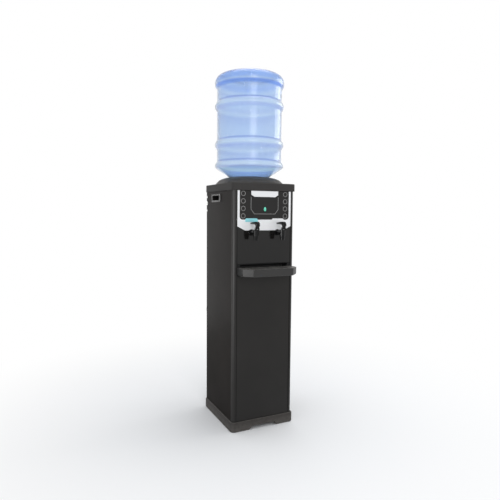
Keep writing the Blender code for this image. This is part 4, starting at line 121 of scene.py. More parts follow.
# %% World
world = bpy.data.worlds.new("white studio")
bpy.context.scene.world = world
world.use_nodes = True
tree = world.node_tree
tree.nodes.clear()
ambient = tree.nodes.new("ShaderNodeBackground")
ambient.inputs["Color"].default_value = (0.93, 0.96, 1.0, 1)
ambient.inputs["Strength"].default_value = 0.66
white = tree.nodes.new("ShaderNodeBackground")
white.inputs["Color"].default_value = (1, 1, 1, 1)
choose = tree.nodes.new("ShaderNodeMixShader")
world_output = tree.nodes.new("ShaderNodeOutputWorld")


def math_node(node_tree, operation, first, second=None, third=None):
    """A Math node whose inputs are sockets or plain numbers, and its output socket."""
    made = node_tree.nodes.new("ShaderNodeMath")
    made.operation = operation
    for slot_number, source in enumerate((first, second, third)):
        if source is None:
            continue
        if isinstance(source, (int, float)):
            made.inputs[slot_number].default_value = source
        else:
            node_tree.links.new(source, made.inputs[slot_number])
    return made.outputs[0]


def shown_rays(node_tree):
    """1 for rays from the camera, a reflection or a see-through piece, and 0 for all others."""
    path = node_tree.nodes.new("ShaderNodeLightPath")
    either = math_node(node_tree, "MAXIMUM", path.outputs["Is Camera Ray"], path.outputs["Is Glossy Ray"])
    return math_node(node_tree, "MAXIMUM", either, path.outputs["Is Transmission Ray"])


tree.links.new(shown_rays(tree), choose.inputs["Fac"])
tree.links.new(ambient.outputs[0], choose.inputs[1])
tree.links.new(white.outputs[0], choose.inputs[2])
tree.links.new(choose.outputs[0], world_output.inputs["Surface"])
print("world: grey light of strength", round(ambient.inputs["Strength"].default_value, 2), "and a white view")

# %% [markdown]
# A softbox is an area lamp: a glowing rectangle that faces one point. Spot lamps would leave small
# hard glints on gloss, while a rectangle leaves a soft band. A tall strip on the left draws the
# light line down the rounded corner post, one near the camera draws the soft band down the middle
# of the bottle, one on the right whitens the bottle's right edge, and a wide one above evens out
# the tops. A strip behind the cooler makes the side panel fade from its rear edge to the post.
# The first and the last add only reflections and no plain light. None of the lamps is seen
# through the bottle, where a rectangle would look like a burnt window. The Standard view
# transform then shows each colour about as it is written.

# %% Lamps
def softbox(name, place, aim, size, watts):
    """A glowing rectangle at a place, turned to face a point. Its size is width and height."""
    lamp = bpy.data.lights.new(name, "AREA")
    lamp.shape = "RECTANGLE"
    lamp.size, lamp.size_y = size
    lamp.energy = watts
    holder = bpy.data.objects.new(name, lamp)
    holder.location = place
    holder.rotation_euler = (Vector(aim) - Vector(place)).to_track_quat("-Z", "Y").to_euler()
    holder.visible_transmission = False
    bpy.context.scene.collection.objects.link(holder)
    return holder


post_strip = softbox("post strip", (-2.3, -0.95, 0.52), (0, 0, 0.5), (0.30, 1.15), 58)
post_strip.visible_diffuse = False
softbox("bottle strip", (-0.49, -2.35, 1.52), (0, 0, 1.1), (0.85, 1.35), 15)
softbox("right softbox", (2.2, 0.05, 1.60), (0, 0, 1.1), (1.4, 1.0), 13)
softbox("top softbox", (0.2, 0.1, 3.0), (0, 0, 0.9), (1.8, 1.8), 24)
rear_strip = softbox("rear strip", (-0.36, 1.55, 0.50), (-0.3, 0.1, 0.4), (0.50, 1.5), 8.5)
rear_strip.visible_camera = False
rear_strip.visible_diffuse = False
bpy.context.scene.view_settings.view_transform = "Standard"

# %% [markdown]
# The floor is a wide pale sheet, and it only has to catch the shadow. It is marked as stage, so
# that it isn't taken for a piece of the cooler. Away from the cooler it fades to plain white, so
# that no horizon line shows. A Light Path node lets only the camera, reflections and the bottle
# see that white, because otherwise a glowing floor would light the object from below.

# %% Floor
FLOOR, FADE_START, FADE_END = 7.0, 0.15, 1.5
floor_mesh = bpy.data.meshes.new("studio floor")
floor_corners = [(-FLOOR, -FLOOR, 0), (FLOOR, -FLOOR, 0), (FLOOR, FLOOR, 0), (-FLOOR, FLOOR, 0)]
floor_mesh.from_pydata(floor_corners, [], [(0, 1, 2, 3)])
floor = bpy.data.objects.new("studio_floor", floor_mesh)
bpy.context.scene.collection.objects.link(floor)
paper = bpy.data.materials.new("floor paper")
paper.use_nodes = True
nodes, links = paper.node_tree.nodes, paper.node_tree.links
paper_shader = nodes["Principled BSDF"]
paper_shader.inputs["Roughness"].default_value = 0.9
paper_shader.inputs["Base Color"].default_value = (0.88, 0.88, 0.88, 1)
glow = nodes.new("ShaderNodeEmission")
glow.inputs["Color"].default_value = (1, 1, 1, 1)
mixed = nodes.new("ShaderNodeMixShader")
from_middle = nodes.new("ShaderNodeVectorMath")
from_middle.operation = "LENGTH"
links.new(nodes.new("ShaderNodeTexCoord").outputs["Object"], from_middle.inputs[0])


def ramped(node_tree, source, low_value, high_value):
    """A smooth mask: 0 at the first value, 1 at the second, which may be the smaller one."""
    made = node_tree.nodes.new("ShaderNodeMapRange")
    made.interpolation_type = "SMOOTHSTEP"
    made.inputs["From Min"].default_value = low_value
    made.inputs["From Max"].default_value = high_value
    node_tree.links.new(source, made.inputs["Value"])
    return made.outputs["Result"]


fade = ramped(paper.node_tree, from_middle.outputs["Value"], FADE_START, FADE_END)
links.new(math_node(paper.node_tree, "MULTIPLY", fade, shown_rays(paper.node_tree)), mixed.inputs["Fac"])
links.new(paper_shader.outputs[0], mixed.inputs[1])
links.new(glow.outputs[0], mixed.inputs[2])
links.new(mixed.outputs[0], nodes["Material Output"].inputs["Surface"])
floor_mesh.materials.append(paper)
floor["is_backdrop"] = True
print("floor", 2 * FLOOR, "m wide")

# %% [markdown]
# Every finish below is made of a few shared effects. Each effect is a shader node group, which is
# like a function for materials: it is built once, takes named values, and gives masks, shades or
# heights. The material keeps the shader itself, so the same grain can serve plastic and steel.

# %% A helper that builds a node group
def effect(name, values, results):
    """A new shader node group with named number inputs and named number outputs."""
    group = bpy.data.node_groups.new(name, "ShaderNodeTree")
    for label, value in values.items():
        socket = group.interface.new_socket(label, in_out="INPUT", socket_type="NodeSocketFloat")
        socket.default_value = value
    for label in results:
        group.interface.new_socket(label, in_out="OUTPUT", socket_type="NodeSocketFloat")
    entry = group.nodes.new("NodeGroupInput")
    result = group.nodes.new("NodeGroupOutput")
    return group, entry, result


def noise_field(group_tree, coordinates, scale, detail=3.0, roughness=0.55):
    """A Noise Texture's value, from 0 to 1, at a scale given in waves per metre."""
    made = group_tree.nodes.new("ShaderNodeTexNoise")
    made.inputs["Detail"].default_value = detail
    made.inputs["Roughness"].default_value = roughness
    group_tree.links.new(coordinates, made.inputs["Vector"])
    if isinstance(scale, (int, float)):
        made.inputs["Scale"].default_value = scale
    else:
        group_tree.links.new(scale, made.inputs["Scale"])
    return made.outputs["Fac"]


print("helpers: effect and noise_field")

# %% [markdown]
# Moulded plastic and sprayed steel look alike from far away. Close up, both have a fine grain
# that breaks the reflections, a slow drift in tone, and patches that hands have polished. All
# three come from noise at different sizes, measured in the object's own metres, so the grain
# has the same real size on a large panel and on a small tap. A scanned image would serve as
# well, but each piece would first have to be unwrapped for it.

# %% Effect: surface grain
grain, grain_in, grain_out = effect(
    "surface grain",
    {"Grain per metre": 1400.0, "Drift per metre": 6.0, "Polish per metre": 22.0},
    ("Height", "Tone", "Polish"),
)
place = grain.nodes.new("ShaderNodeTexCoord").outputs["Object"]
fine = noise_field(grain, place, grain_in.outputs["Grain per metre"], 2.0, 0.5)
slow = noise_field(grain, place, grain_in.outputs["Drift per metre"], 2.0, 0.5)
rubbed = noise_field(grain, place, grain_in.outputs["Polish per metre"], 4.0, 0.6)
grain.links.new(fine, grain_out.inputs["Height"])
grain.links.new(slow, grain_out.inputs["Tone"])
grain.links.new(rubbed, grain_out.inputs["Polish"])
print("effect:", grain.name)

# %% [markdown]
# Edges wear first. The wear could be painted by hand, but each change of shape would mean
# painting it again. A Bevel node finds the edges instead: it bends the surface normal near them,
# and comparing that with the true normal gives a mask that is bright only there. Noise then
# breaks the line up, because real wear is never even.

# %% Effect: worn edges
EDGE_GAIN, PATCH_GAIN, PATCHES_PER_METRE = 4.0, 3.0, 60.0
wear, wear_in, wear_out = effect("worn edges", {"Reach": 0.0008, "Strength": 0.5}, ("Mask",))
bent = wear.nodes.new("ShaderNodeBevel")
bent.samples = 4
wear.links.new(wear_in.outputs["Reach"], bent.inputs["Radius"])
true_normal = wear.nodes.new("ShaderNodeNewGeometry").outputs["Normal"]
match = wear.nodes.new("ShaderNodeVectorMath")
match.operation = "DOT_PRODUCT"
wear.links.new(bent.outputs["Normal"], match.inputs[0])
wear.links.new(true_normal, match.inputs[1])
edge = math_node(wear, "SUBTRACT", 1.0, match.outputs["Value"])
edge = math_node(wear, "MULTIPLY", edge, EDGE_GAIN)
wear_place = wear.nodes.new("ShaderNodeTexCoord").outputs["Object"]
patches = noise_field(wear, wear_place, PATCHES_PER_METRE, 5.0, 0.7)
patches = math_node(wear, "SUBTRACT", math_node(wear, "MULTIPLY", patches, PATCH_GAIN), 1.0)
edge = math_node(wear, "MULTIPLY", edge, patches)
edge = math_node(wear, "MULTIPLY", edge, wear_in.outputs["Strength"])
edge = math_node(wear, "MINIMUM", math_node(wear, "MAXIMUM", edge, 0.0), 1.0)
wear.links.new(edge, wear_out.inputs["Mask"])
print("effect:", wear.name)

# %% [markdown]
# Dust settles on what faces up, and it climbs the first few centimetres above the floor. Two
# masks, one from the normal and one from the height, are joined and broken up with noise. So it
# falls in the right places on any piece, and none has to be painted.

# %% Effect: settled dust
SPECKS_PER_METRE, SPECK_GAIN = 90.0, 1.6
dust, dust_in, dust_out = effect("settled dust", {"Top": 0.25, "Floor": 0.3, "Floor height": 0.05}, ("Mask",))
faces = dust.nodes.new("ShaderNodeNewGeometry")
split_normal = dust.nodes.new("ShaderNodeSeparateXYZ")
dust.links.new(faces.outputs["Normal"], split_normal.inputs[0])
split_place = dust.nodes.new("ShaderNodeSeparateXYZ")
dust_place = dust.nodes.new("ShaderNodeTexCoord").outputs["Object"]
dust.links.new(dust_place, split_place.inputs[0])
facing_up = math_node(dust, "POWER", math_node(dust, "MAXIMUM", split_normal.outputs["Z"], 0.0), 3.0)
facing_up = math_node(dust, "MULTIPLY", facing_up, dust_in.outputs["Top"])
low = math_node(dust, "DIVIDE", split_place.outputs["Z"], dust_in.outputs["Floor height"])
low = math_node(dust, "MAXIMUM", math_node(dust, "SUBTRACT", 1.0, low), 0.0)
low = math_node(dust, "MULTIPLY", low, dust_in.outputs["Floor"])
speck = noise_field(dust, dust_place, SPECKS_PER_METRE, 6.0, 0.7)
speck = math_node(dust, "MULTIPLY", speck, SPECK_GAIN)
both = math_node(dust, "MULTIPLY", math_node(dust, "MAXIMUM", facing_up, low), speck)
dust.links.new(math_node(dust, "MINIMUM", both, 1.0), dust_out.inputs["Mask"])
print("effect:", dust.name)

# %% [markdown]
# Rolled, drawn and brushed metal has lines that all run one way. Stretching the coordinates
# before the noise does this: the texture is squeezed along two axes and left long on the third.
# A Wave Texture draws lines too, but they come out too even. The bottle's blown wall has the
# same kind of lines, only much softer.

# %% Effect: drawn lines
BANDS_PER_METRE = 40.0
drawn, drawn_in, drawn_out = effect(
    "drawn lines",
    {"Across X": 1.0, "Across Y": 1.0, "Across Z": 1.0, "Lines per metre": 600.0},
    ("Height", "Shade"),
)
stretch = drawn.nodes.new("ShaderNodeCombineXYZ")
for axis in "XYZ":
    drawn.links.new(drawn_in.outputs["Across " + axis], stretch.inputs[axis])
scaled = drawn.nodes.new("ShaderNodeVectorMath")
scaled.operation = "MULTIPLY"
drawn.links.new(drawn.nodes.new("ShaderNodeTexCoord").outputs["Object"], scaled.inputs[0])
drawn.links.new(stretch.outputs[0], scaled.inputs[1])
lines = noise_field(drawn, scaled.outputs[0], drawn_in.outputs["Lines per metre"], 3.0, 0.6)
bands = noise_field(drawn, scaled.outputs[0], BANDS_PER_METRE, 2.0, 0.5)
drawn.links.new(lines, drawn_out.inputs["Height"])
drawn.links.new(bands, drawn_out.inputs["Shade"])
print("effect:", drawn.name)

# %% [markdown]
# A material for a moulded or painted piece always has the same layers: the colour drifting
# between two close tones, a paler tone on worn edges, and dust on top. One function stacks them,
# so that each finish below is only a line of values. Its shine is the shader's specular level. It
# is low on the dark finishes, because they mirror a room that is white all round, and a full
# shine would turn charcoal to grey.

# %% A helper that layers a finish
def placed(material, group, **values):
    """Puts a group into a material and sets its inputs by name, with _ for a space."""
    made = material.node_tree.nodes.new("ShaderNodeGroup")
    made.node_tree = group
    for label, value in values.items():
        made.inputs[label.replace("_", " ")].default_value = value
    return made


def colour_mix(material, factor, first, second):
    """Mixes two colours, each a socket or a plain colour, and gives the result's socket."""
    made = material.node_tree.nodes.new("ShaderNodeMix")
    made.data_type = "RGBA"
    made.clamp_factor = True
    material.node_tree.links.new(factor, made.inputs["Factor"])
    for label, source in (("A", first), ("B", second)):
        socket = [s for s in made.inputs if s.name == label and s.type == "RGBA"][0]
        if isinstance(source, tuple):
            socket.default_value = (*source, 1)
        else:
            material.node_tree.links.new(source, socket)
    return [s for s in made.outputs if s.type == "RGBA"][0]


def spread(material, source, low_value, high_value):
    """Maps a 0 to 1 socket onto a range of numbers."""
    made = material.node_tree.nodes.new("ShaderNodeMapRange")
    made.inputs["To Min"].default_value = low_value
    made.inputs["To Max"].default_value = high_value
    material.node_tree.links.new(source, made.inputs["Value"])
    return made.outputs["Result"]


def blank(name):
    """A new material, and its own Principled shader."""
    made = bpy.data.materials.new(name)
    made.use_nodes = True
    return made, made.node_tree.nodes["Principled BSDF"]


def bumped(material, shader, height, distance, strength=1.0):
    """Lets a height texture tilt the shader's normal. The distance is its real depth in metres."""
    made = material.node_tree.nodes.new("ShaderNodeBump")
    made.inputs["Distance"].default_value = distance
    made.inputs["Strength"].default_value = strength
    material.node_tree.links.new(height, made.inputs["Height"])
    material.node_tree.links.new(made.outputs["Normal"], shader.inputs["Normal"])


HOUSE_DUST = (0.33, 0.31, 0.28)
DUST_ROUGHNESS, COAT_ROUGHNESS = 0.4, 0.08
WORN_LIFT, WORN_GAIN = 0.05, 1.9


def layered(name, colour, second, roughness, grain_size=1400.0, depth=0.00002, worn=0.35, top_dust=0.12,
            floor_dust=0.3, shine=0.5, coat=0.0, polish=0.12, dust_colour=HOUSE_DUST):
    """A moulded or painted finish with grain, drift, worn edges and dust."""
    made, shader = blank(name)
    links = made.node_tree.links
    texture = placed(made, grain, Grain_per_metre=grain_size)
    edges = placed(made, wear, Strength=worn)
    settled = placed(made, dust, Top=top_dust, Floor=floor_dust)
    worn_colour = tuple(min(1.0, WORN_LIFT + WORN_GAIN * part) for part in colour)
    tone = spread(made, texture.outputs["Tone"], -0.6, 1.6)
    body = colour_mix(made, tone, colour, second)
    body = colour_mix(made, edges.outputs["Mask"], body, worn_colour)
    body = colour_mix(made, settled.outputs["Mask"], body, dust_colour)
    links.new(body, shader.inputs["Base Color"])
    rough = spread(made, texture.outputs["Polish"], roughness - polish / 2, roughness + polish / 2)
    rough = math_node(made.node_tree, "MULTIPLY_ADD", settled.outputs["Mask"], DUST_ROUGHNESS, rough)
    links.new(rough, shader.inputs["Roughness"])
    bumped(made, shader, texture.outputs["Height"], depth)
    shader.inputs["Specular IOR Level"].default_value = shine
    shader.inputs["Coat Weight"].default_value = coat
    shader.inputs["Coat Roughness"].default_value = COAT_ROUGHNESS
    return made


print("layers of a finish: drifting colour, worn edges, dust, roughness and bump")

# %% [markdown]
# The cabinet's plastics and its steel are all the same charcoal, but not the same surface. The
# steel sides are powder coated, with a faint orange peel. The front panels and posts are satin
# plastic, the fascia behind the taps is polished, and the plinth is a rougher plastic that has
# picked up dust, so it looks browner. One material for all of them would be quicker, but then
# the cabinet would look cast in one lump.

# %% Finishes of the cabinet
charcoal_steel = layered("powder coated steel", (0.0215, 0.0188, 0.0172), (0.0275, 0.0240, 0.0220), 0.36,
                         grain_size=520.0, depth=0.00003, worn=0.18, floor_dust=0.12, shine=0.007)
charcoal_plastic = layered("satin charcoal plastic", (0.0105, 0.0095, 0.0087), (0.0150, 0.0136, 0.0125), 0.40,
                           grain_size=1700.0, worn=0.35, floor_dust=0.10, shine=0.24)
cover_plastic = layered("matt cover plastic", (0.0440, 0.0415, 0.0400), (0.0560, 0.0530, 0.0510), 0.46,
                        grain_size=1500.0, worn=0.35, top_dust=0.25, shine=0.012)
tray_plastic = layered("satin tray plastic", (0.0380, 0.0370, 0.0360), (0.0480, 0.0465, 0.0450), 0.40,
                       grain_size=1500.0, worn=0.5, top_dust=0.2, shine=0.13)
plinth_plastic = layered("rough plinth plastic", (0.022, 0.0190, 0.0180), (0.033, 0.0285, 0.0265), 0.70,
                         grain_size=700.0, depth=0.0001, worn=0.7, top_dust=0.3, floor_dust=0.25, shine=0.2,
                         polish=0.2)
gloss_charcoal = layered("polished fascia", (0.0070, 0.0065, 0.0060), (0.0095, 0.0088, 0.0082), 0.11,
                         grain_size=160.0, depth=0.000004, worn=0.2, top_dust=0.05, polish=0.05, shine=0.32)
rim_plastic = layered("worn rim plastic", (0.025, 0.023, 0.022), (0.034, 0.031, 0.029), 0.40,
                      grain_size=1700.0, worn=0.4, top_dust=0.1, shine=0.15)
black_plastic = layered("black tap plastic", (0.0032, 0.0032, 0.0034), (0.0055, 0.0055, 0.0058), 0.26,
                        grain_size=900.0, depth=0.000008, worn=0.15, top_dust=0.03, polish=0.10, shine=0.16)
pocket_black = layered("matt pocket plastic", (0.0070, 0.0070, 0.0072), (0.010, 0.010, 0.010), 0.55,
                       grain_size=1200.0, worn=0.15, top_dust=0.15, shine=0.2)
grille_black = layered("satin grille plastic", (0.034, 0.033, 0.032), (0.044, 0.0425, 0.041), 0.34,
                       grain_size=1200.0, worn=0.4, top_dust=0.2, shine=0.35)
rubber = layered("soft black rubber", (0.0060, 0.0060, 0.0062), (0.0100, 0.0100, 0.0100), 0.82,
                 grain_size=2500.0, depth=0.00004, worn=0.1, top_dust=0.25, floor_dust=0.05, shine=0.06)
print("cabinet finishes: 11")

# %% [markdown]
# The surround of the taps is white plastic with a faint silver brushing, so it takes the drawn
# lines as well as the grain. The blue tab marks the cold tap. The little lens is a clear teal
# moulding, a touch brighter than paint would be, because light spreads inside it. A faint glow
# of its own colour stands in for that, which is simpler than tracing light through so small a
# piece.

# %% Finishes of the control area
def brushed_white(name, colour, second, roughness):
    """White or coloured trim with a faint brushing along its length."""
    made = layered(name, colour, second, roughness, grain_size=1200.0, depth=0.00001, worn=0.0,
                   top_dust=0.10, polish=0.08, coat=0.25)
    shader = made.node_tree.nodes["Principled BSDF"]
    brushing = placed(made, drawn, Across_X=0.03, Lines_per_metre=900.0)
    body = shader.inputs["Base Color"].links[0].from_socket
    shade = spread(made, brushing.outputs["Height"], -0.35, 0.75)
    darker = tuple(part * 0.90 for part in colour)
    made.node_tree.links.new(colour_mix(made, shade, body, darker), shader.inputs["Base Color"])
    return made


white_trim = brushed_white("brushed white trim", (0.84, 0.84, 0.84), (0.88, 0.88, 0.885), 0.32)
cyan_trim = brushed_white("cold tab blue", (0.24, 0.66, 0.72), (0.30, 0.72, 0.77), 0.28)
silver_print = layered("grey print", (0.19, 0.185, 0.18), (0.24, 0.235, 0.23), 0.45, worn=0.0)
teal_lens, lens_shader = blank("teal lens")
lens_shader.inputs["Roughness"].default_value = 0.12
lens_shader.inputs["Coat Weight"].default_value = 0.6
lens_grain = placed(teal_lens, grain, Grain_per_metre=300.0, Drift_per_metre=90.0)
lens_colour = colour_mix(teal_lens, lens_grain.outputs["Tone"], (0.05, 0.50, 0.33), (0.16, 0.72, 0.52))
teal_lens.node_tree.links.new(lens_colour, lens_shader.inputs["Base Color"])
teal_lens.node_tree.links.new(lens_colour, lens_shader.inputs["Emission Color"])
lens_shader.inputs["Emission Strength"].default_value = 0.15
print("control finishes: 4")

# %% [markdown]
# Inside and behind the cabinet the parts are left as they come: zinc-plated steel with rolling
# lines, copper that has dulled to brown in places, black enamel on the condenser and compressor,
# cream insulation foam, milky reservoir plastic and clear silicone hose. The two bare metals
# share one function, because only their colours and the run of their lines differ.

# %% Finishes of the works
def bare_metal(name, colour, tarnish, roughness, lines_per_metre, across):
    """Bare metal with drawn lines and tarnish in patches."""
    made, shader = blank(name)
    links = made.node_tree.links
    texture = placed(made, grain, Grain_per_metre=400.0, Drift_per_metre=25.0, Polish_per_metre=60.0)
    rolling = placed(made, drawn, Lines_per_metre=lines_per_metre, **across)
    settled = placed(made, dust, Top=0.25, Floor=0.2)
    tone = spread(made, texture.outputs["Tone"], -0.8, 1.5)
    body = colour_mix(made, tone, colour, tarnish)
    body = colour_mix(made, settled.outputs["Mask"], body, HOUSE_DUST)
    links.new(body, shader.inputs["Base Color"])
    rough = spread(made, rolling.outputs["Shade"], roughness - 0.08, roughness + 0.14)
    links.new(rough, shader.inputs["Roughness"])
    bumped(made, shader, rolling.outputs["Height"], 0.00002)
    shader.inputs["Metallic"].default_value = 1.0
    return made


zinc = bare_metal("zinc-plated steel", (0.60, 0.61, 0.60), (0.42, 0.43, 0.42), 0.34, 500.0,
                  {"Across_Z": 0.05})
copper = bare_metal("copper tube", (0.72, 0.36, 0.22), (0.34, 0.16, 0.09), 0.30, 300.0, {"Across_Z": 0.3})
enamel = layered("black enamel", (0.010, 0.010, 0.0105), (0.015, 0.015, 0.016), 0.26, grain_size=600.0,
                 depth=0.00002, worn=0.15, top_dust=0.3, coat=0.3)
foam = layered("cream insulation foam", (0.74, 0.66, 0.50), (0.82, 0.75, 0.60), 0.92, grain_size=420.0,
               depth=0.0006, worn=0.0, top_dust=0.1, dust_colour=(0.55, 0.48, 0.38))
reservoir = layered("milky reservoir plastic", (0.72, 0.75, 0.76), (0.80, 0.82, 0.82), 0.36, worn=0.0,
                    top_dust=0.05, coat=0.2)
reservoir_shader = reservoir.node_tree.nodes["Principled BSDF"]
reservoir_shader.inputs["Subsurface Weight"].default_value = 0.2
reservoir_shader.inputs["Subsurface Scale"].default_value = 0.004
silicone, silicone_shader = blank("clear silicone hose")
silicone_shader.inputs["Transmission Weight"].default_value = 0.55
silicone_shader.inputs["IOR"].default_value = 1.41
silicone_grain = placed(silicone, grain, Grain_per_metre=500.0, Drift_per_metre=40.0)
silicone_colour = colour_mix(silicone, silicone_grain.outputs["Tone"], (0.80, 0.83, 0.84), (0.68, 0.73, 0.75))
silicone.node_tree.links.new(silicone_colour, silicone_shader.inputs["Base Color"])
silicone_rough = spread(silicone, silicone_grain.outputs["Polish"], 0.30, 0.55)
silicone.node_tree.links.new(silicone_rough, silicone_shader.inputs["Roughness"])
print("works finishes: 6")

# %% [markdown]
# A material reaches a measured piece by replacing what is in its slots. The calls below say which
# finish each piece wears. The chamfers and rounded corners are in the measured solids already, so
# smooth shading is enough: it blends their small steps, and only the true edges, where two faces
# meet at more than 32 degrees, stay sharp.

# %% Dress the measured pieces
EDGE_ANGLE = math.radians(32)
dressed = set()


def dress(finish, names):
    """Gives measured pieces a finish and smooth shading that keeps their edges."""
    for label in names:
        mesh = node[label].data
        mesh.materials.clear()
        mesh.materials.append(finish)
        mesh.shade_smooth()
        mesh.set_sharp_from_angle(angle=EDGE_ANGLE)
        dressed.add(label)


taps = ("cold", "natural")
sides = ("left", "right")
dress(charcoal_steel, ["side_panel_" + side for side in sides])
dress(charcoal_plastic, ["corner_post_" + side for side in sides] + ["grip_cup_" + side for side in sides])
dress(charcoal_plastic, ["front_lower_panel"])
dress(tray_plastic, ["drip_tray", "bottle_collar"])
dress(cover_plastic, ["top_cover"])
dress(plinth_plastic, ["base_plinth"])
dress(gloss_charcoal, ["tap_fascia", "control_shield"])
dress(pocket_black, ["tray_housing", "relay_box", "thermostat_body"])
dress(grille_black, ["drip_grille"])
dress(white_trim, ["fascia_frame", "blank_plate", "tap_tab_natural"])
dress(cyan_trim, ["tap_tab_cold"])
dress(teal_lens, ["indicator_lens"])
for part in ("body", "bonnet", "lever"):
    dress(black_plastic, ["tap_" + part + "_" + tap for tap in taps])
dress(black_plastic, ["thermostat_knob"])
for part in ("nut", "pin"):
    dress(zinc, ["tap_" + part + "_" + tap for tap in taps])
dress(silicone, ["tap_stem_" + tap for tap in taps] + ["hose_" + tap for tap in taps])
dress(zinc, ["base_pan", "tank_shelf", "rear_panel"])
dress(zinc, ["condenser_bracket_" + row + "_" + side for row in ("upper", "lower") for side in sides])
dress(copper, ["evaporator_coil", "discharge_line", "suction_line", "capillary_tube", "filter_drier"])
dress(enamel, ["condenser", "compressor"])
dress(rubber, ["cord_gland"])
dress(rubber, ["compressor_grommet_" + end + "_" + side for end in ("front", "rear") for side in sides])
dress(reservoir, ["cold_tank", "baffle_disc"])
dress(foam, ["tank_insulation"])
print("dressed pieces:", len(dressed), "without a finish:", sorted(set(node) - dressed))

# %% [markdown]
# The bottle is the largest thing in the picture, and its light does most of the work. The
# measured solid has few faces, so a finer shell takes its place: a profile drawn once, with
# rounded hoops and a crowned base, and spun round the axis. It is a real wall with an inside,
# so that light bends twice through it as it does in the blown plastic. A Screw modifier could
# spin the profile too, but rings built here close to one clean point in the middle of the base.

# %% Helpers that draw and spin a profile
def turn(step, count):
    """The cosine and sine of one step of a full turn."""
    angle = 2 * math.pi * step / count
    return math.cos(angle), math.sin(angle)


def as_object(name, shape):
    """Turns a bmesh into a smooth-shaded object in the scene."""
    mesh = bpy.data.meshes.new(name)
    shape.to_mesh(mesh)
    shape.free()
    mesh.shade_smooth()
    made = bpy.data.objects.new(name, mesh)
    bpy.context.scene.collection.objects.link(made)
    return made


def stitched(name, shape, rings, capped=False):
    """Joins each ring of vertices to the next with faces. A ring of one vertex is a point."""
    for low_ring, high_ring in zip(rings, rings[1:]):
        count = max(len(low_ring), len(high_ring))
        for here in range(count):
            after = (here + 1) % count
            if len(low_ring) == 1:
                shape.faces.new((low_ring[0], high_ring[here], high_ring[after]))
            elif len(high_ring) == 1:
                shape.faces.new((low_ring[here], high_ring[0], low_ring[after]))
            else:
                shape.faces.new((low_ring[here], high_ring[here], high_ring[after], low_ring[after]))
    if capped:
        shape.faces.new(rings[0][::-1])
        shape.faces.new(rings[-1])
    bmesh.ops.recalc_face_normals(shape, faces=shape.faces)
    return as_object(name, shape)


def spun(name, profile, sides):
    """A closed profile of (radius, height) points spun round the bottle's axis."""
    shape = bmesh.new()
    rings = []
    for radius, height in profile:
        count = sides if radius > 1e-6 else 1
        rings.append([shape.verts.new((radius * c, AXIS_Y + radius * n, height))
                      for c, n in (turn(side, sides) for side in range(count))])
    return stitched(name, shape, rings)


FLANK_POWER = 1.3


def swell(middle, half, radius, proud, steps=14):
    """One rounded hoop of the bottle, from its upper edge to its lower, with hollow flanks."""
    points = []
    for step in range(steps + 1):
        along = 1 - 2 * step / steps
        points.append((radius + proud * math.cos(along * math.pi / 2) ** FLANK_POWER, middle + half * along))
    return points


def lined(profile, wall):
    """The inside of a profile: each point moved in by the wall, square to its neighbours."""
    moved = []
    for before, here, after in zip([profile[0]] + profile[:-1], profile, profile[1:] + [profile[-1]]):
        along_r, along_z = after[0] - before[0], after[1] - before[1]
        length = math.hypot(along_r, along_z)
        moved.append((max(0.0, here[0] + wall * along_z / length), here[1] - wall * along_r / length))
    return moved


print("helpers: turn, as_object, stitched, spun, swell and lined")

# %% [markdown]
# The profile runs from the middle of the base, which is at the top here because the bottle is
# upside down, round the crowned base ring, down over two hoops and the shoulder, and in along
# the cone to the neck. The inside follows it at the wall's thickness. The faces under the shoulder
# are told to use the object's second material, which is the clear one.

# %% The bottle's shell
WALL, BODY_RADIUS, CREST = 0.0020, 0.1300, 0.0088
UPPER_HOOP, LOWER_HOOP, SHOULDER_HOOP = 1.2690, 1.1180, 1.0350
CLEAR_BELOW, BOTTLE_SIDES = 1.0245, 128
quarter = [math.pi / 2 * step / 12 for step in range(13)]
outside = [(0, 1.3800), (0.050, 1.3805), (0.084, 1.3830), (0.093, 1.3870), (0.100, 1.3908)]
outside += [(0.1060 + 0.0328 * math.sin(a), 1.3620 + 0.0306 * math.cos(a)) for a in quarter]
outside += [(0.1386, 1.3560), (0.1378, 1.3505), (0.1358, 1.3455), (0.1328, 1.3412), (0.1308, 1.3372),
            (0.1301, 1.3330)]
for hoop in (UPPER_HOOP, LOWER_HOOP):
    outside += [(BODY_RADIUS, hoop + 0.0260)] + swell(hoop, 0.0205, BODY_RADIUS, CREST)
outside += [(BODY_RADIUS, 1.0620)] + swell(SHOULDER_HOOP, 0.0180, BODY_RADIUS, CREST)[:9]
outside += [(0.1383, 1.0298), (0.1366, 1.0262), (0.1333, 1.0236), (0.1200, 1.0149), (0.1000, 1.0020),
            (0.0790, 0.9885)]
throat = [(0.0790 - 0.0510 * math.sin(a), 0.9600 + 0.0280 * math.cos(a)) for a in quarter[1:]]
outside += throat + [(0.0280, 0.9170), (0.0293, 0.9150), (0.0294, 0.9050), (0.0289, 0.9041)]
inside = [(radius, height) for radius, height in lined(outside[:-2], WALL) if height > 0.9180]
inside += [(0.0256, 0.9170), (0.0256, 0.9042)]
bottle = spun("bottle_shell", outside + inside[::-1], BOTTLE_SIDES)
for face in bottle.data.polygons:
    face.material_index = 1 if face.center.z < CLEAR_BELOW else 0
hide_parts("water_bottle")
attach(bottle, "bottle")
print("bottle shell:", len(bottle.data.polygons), "faces")
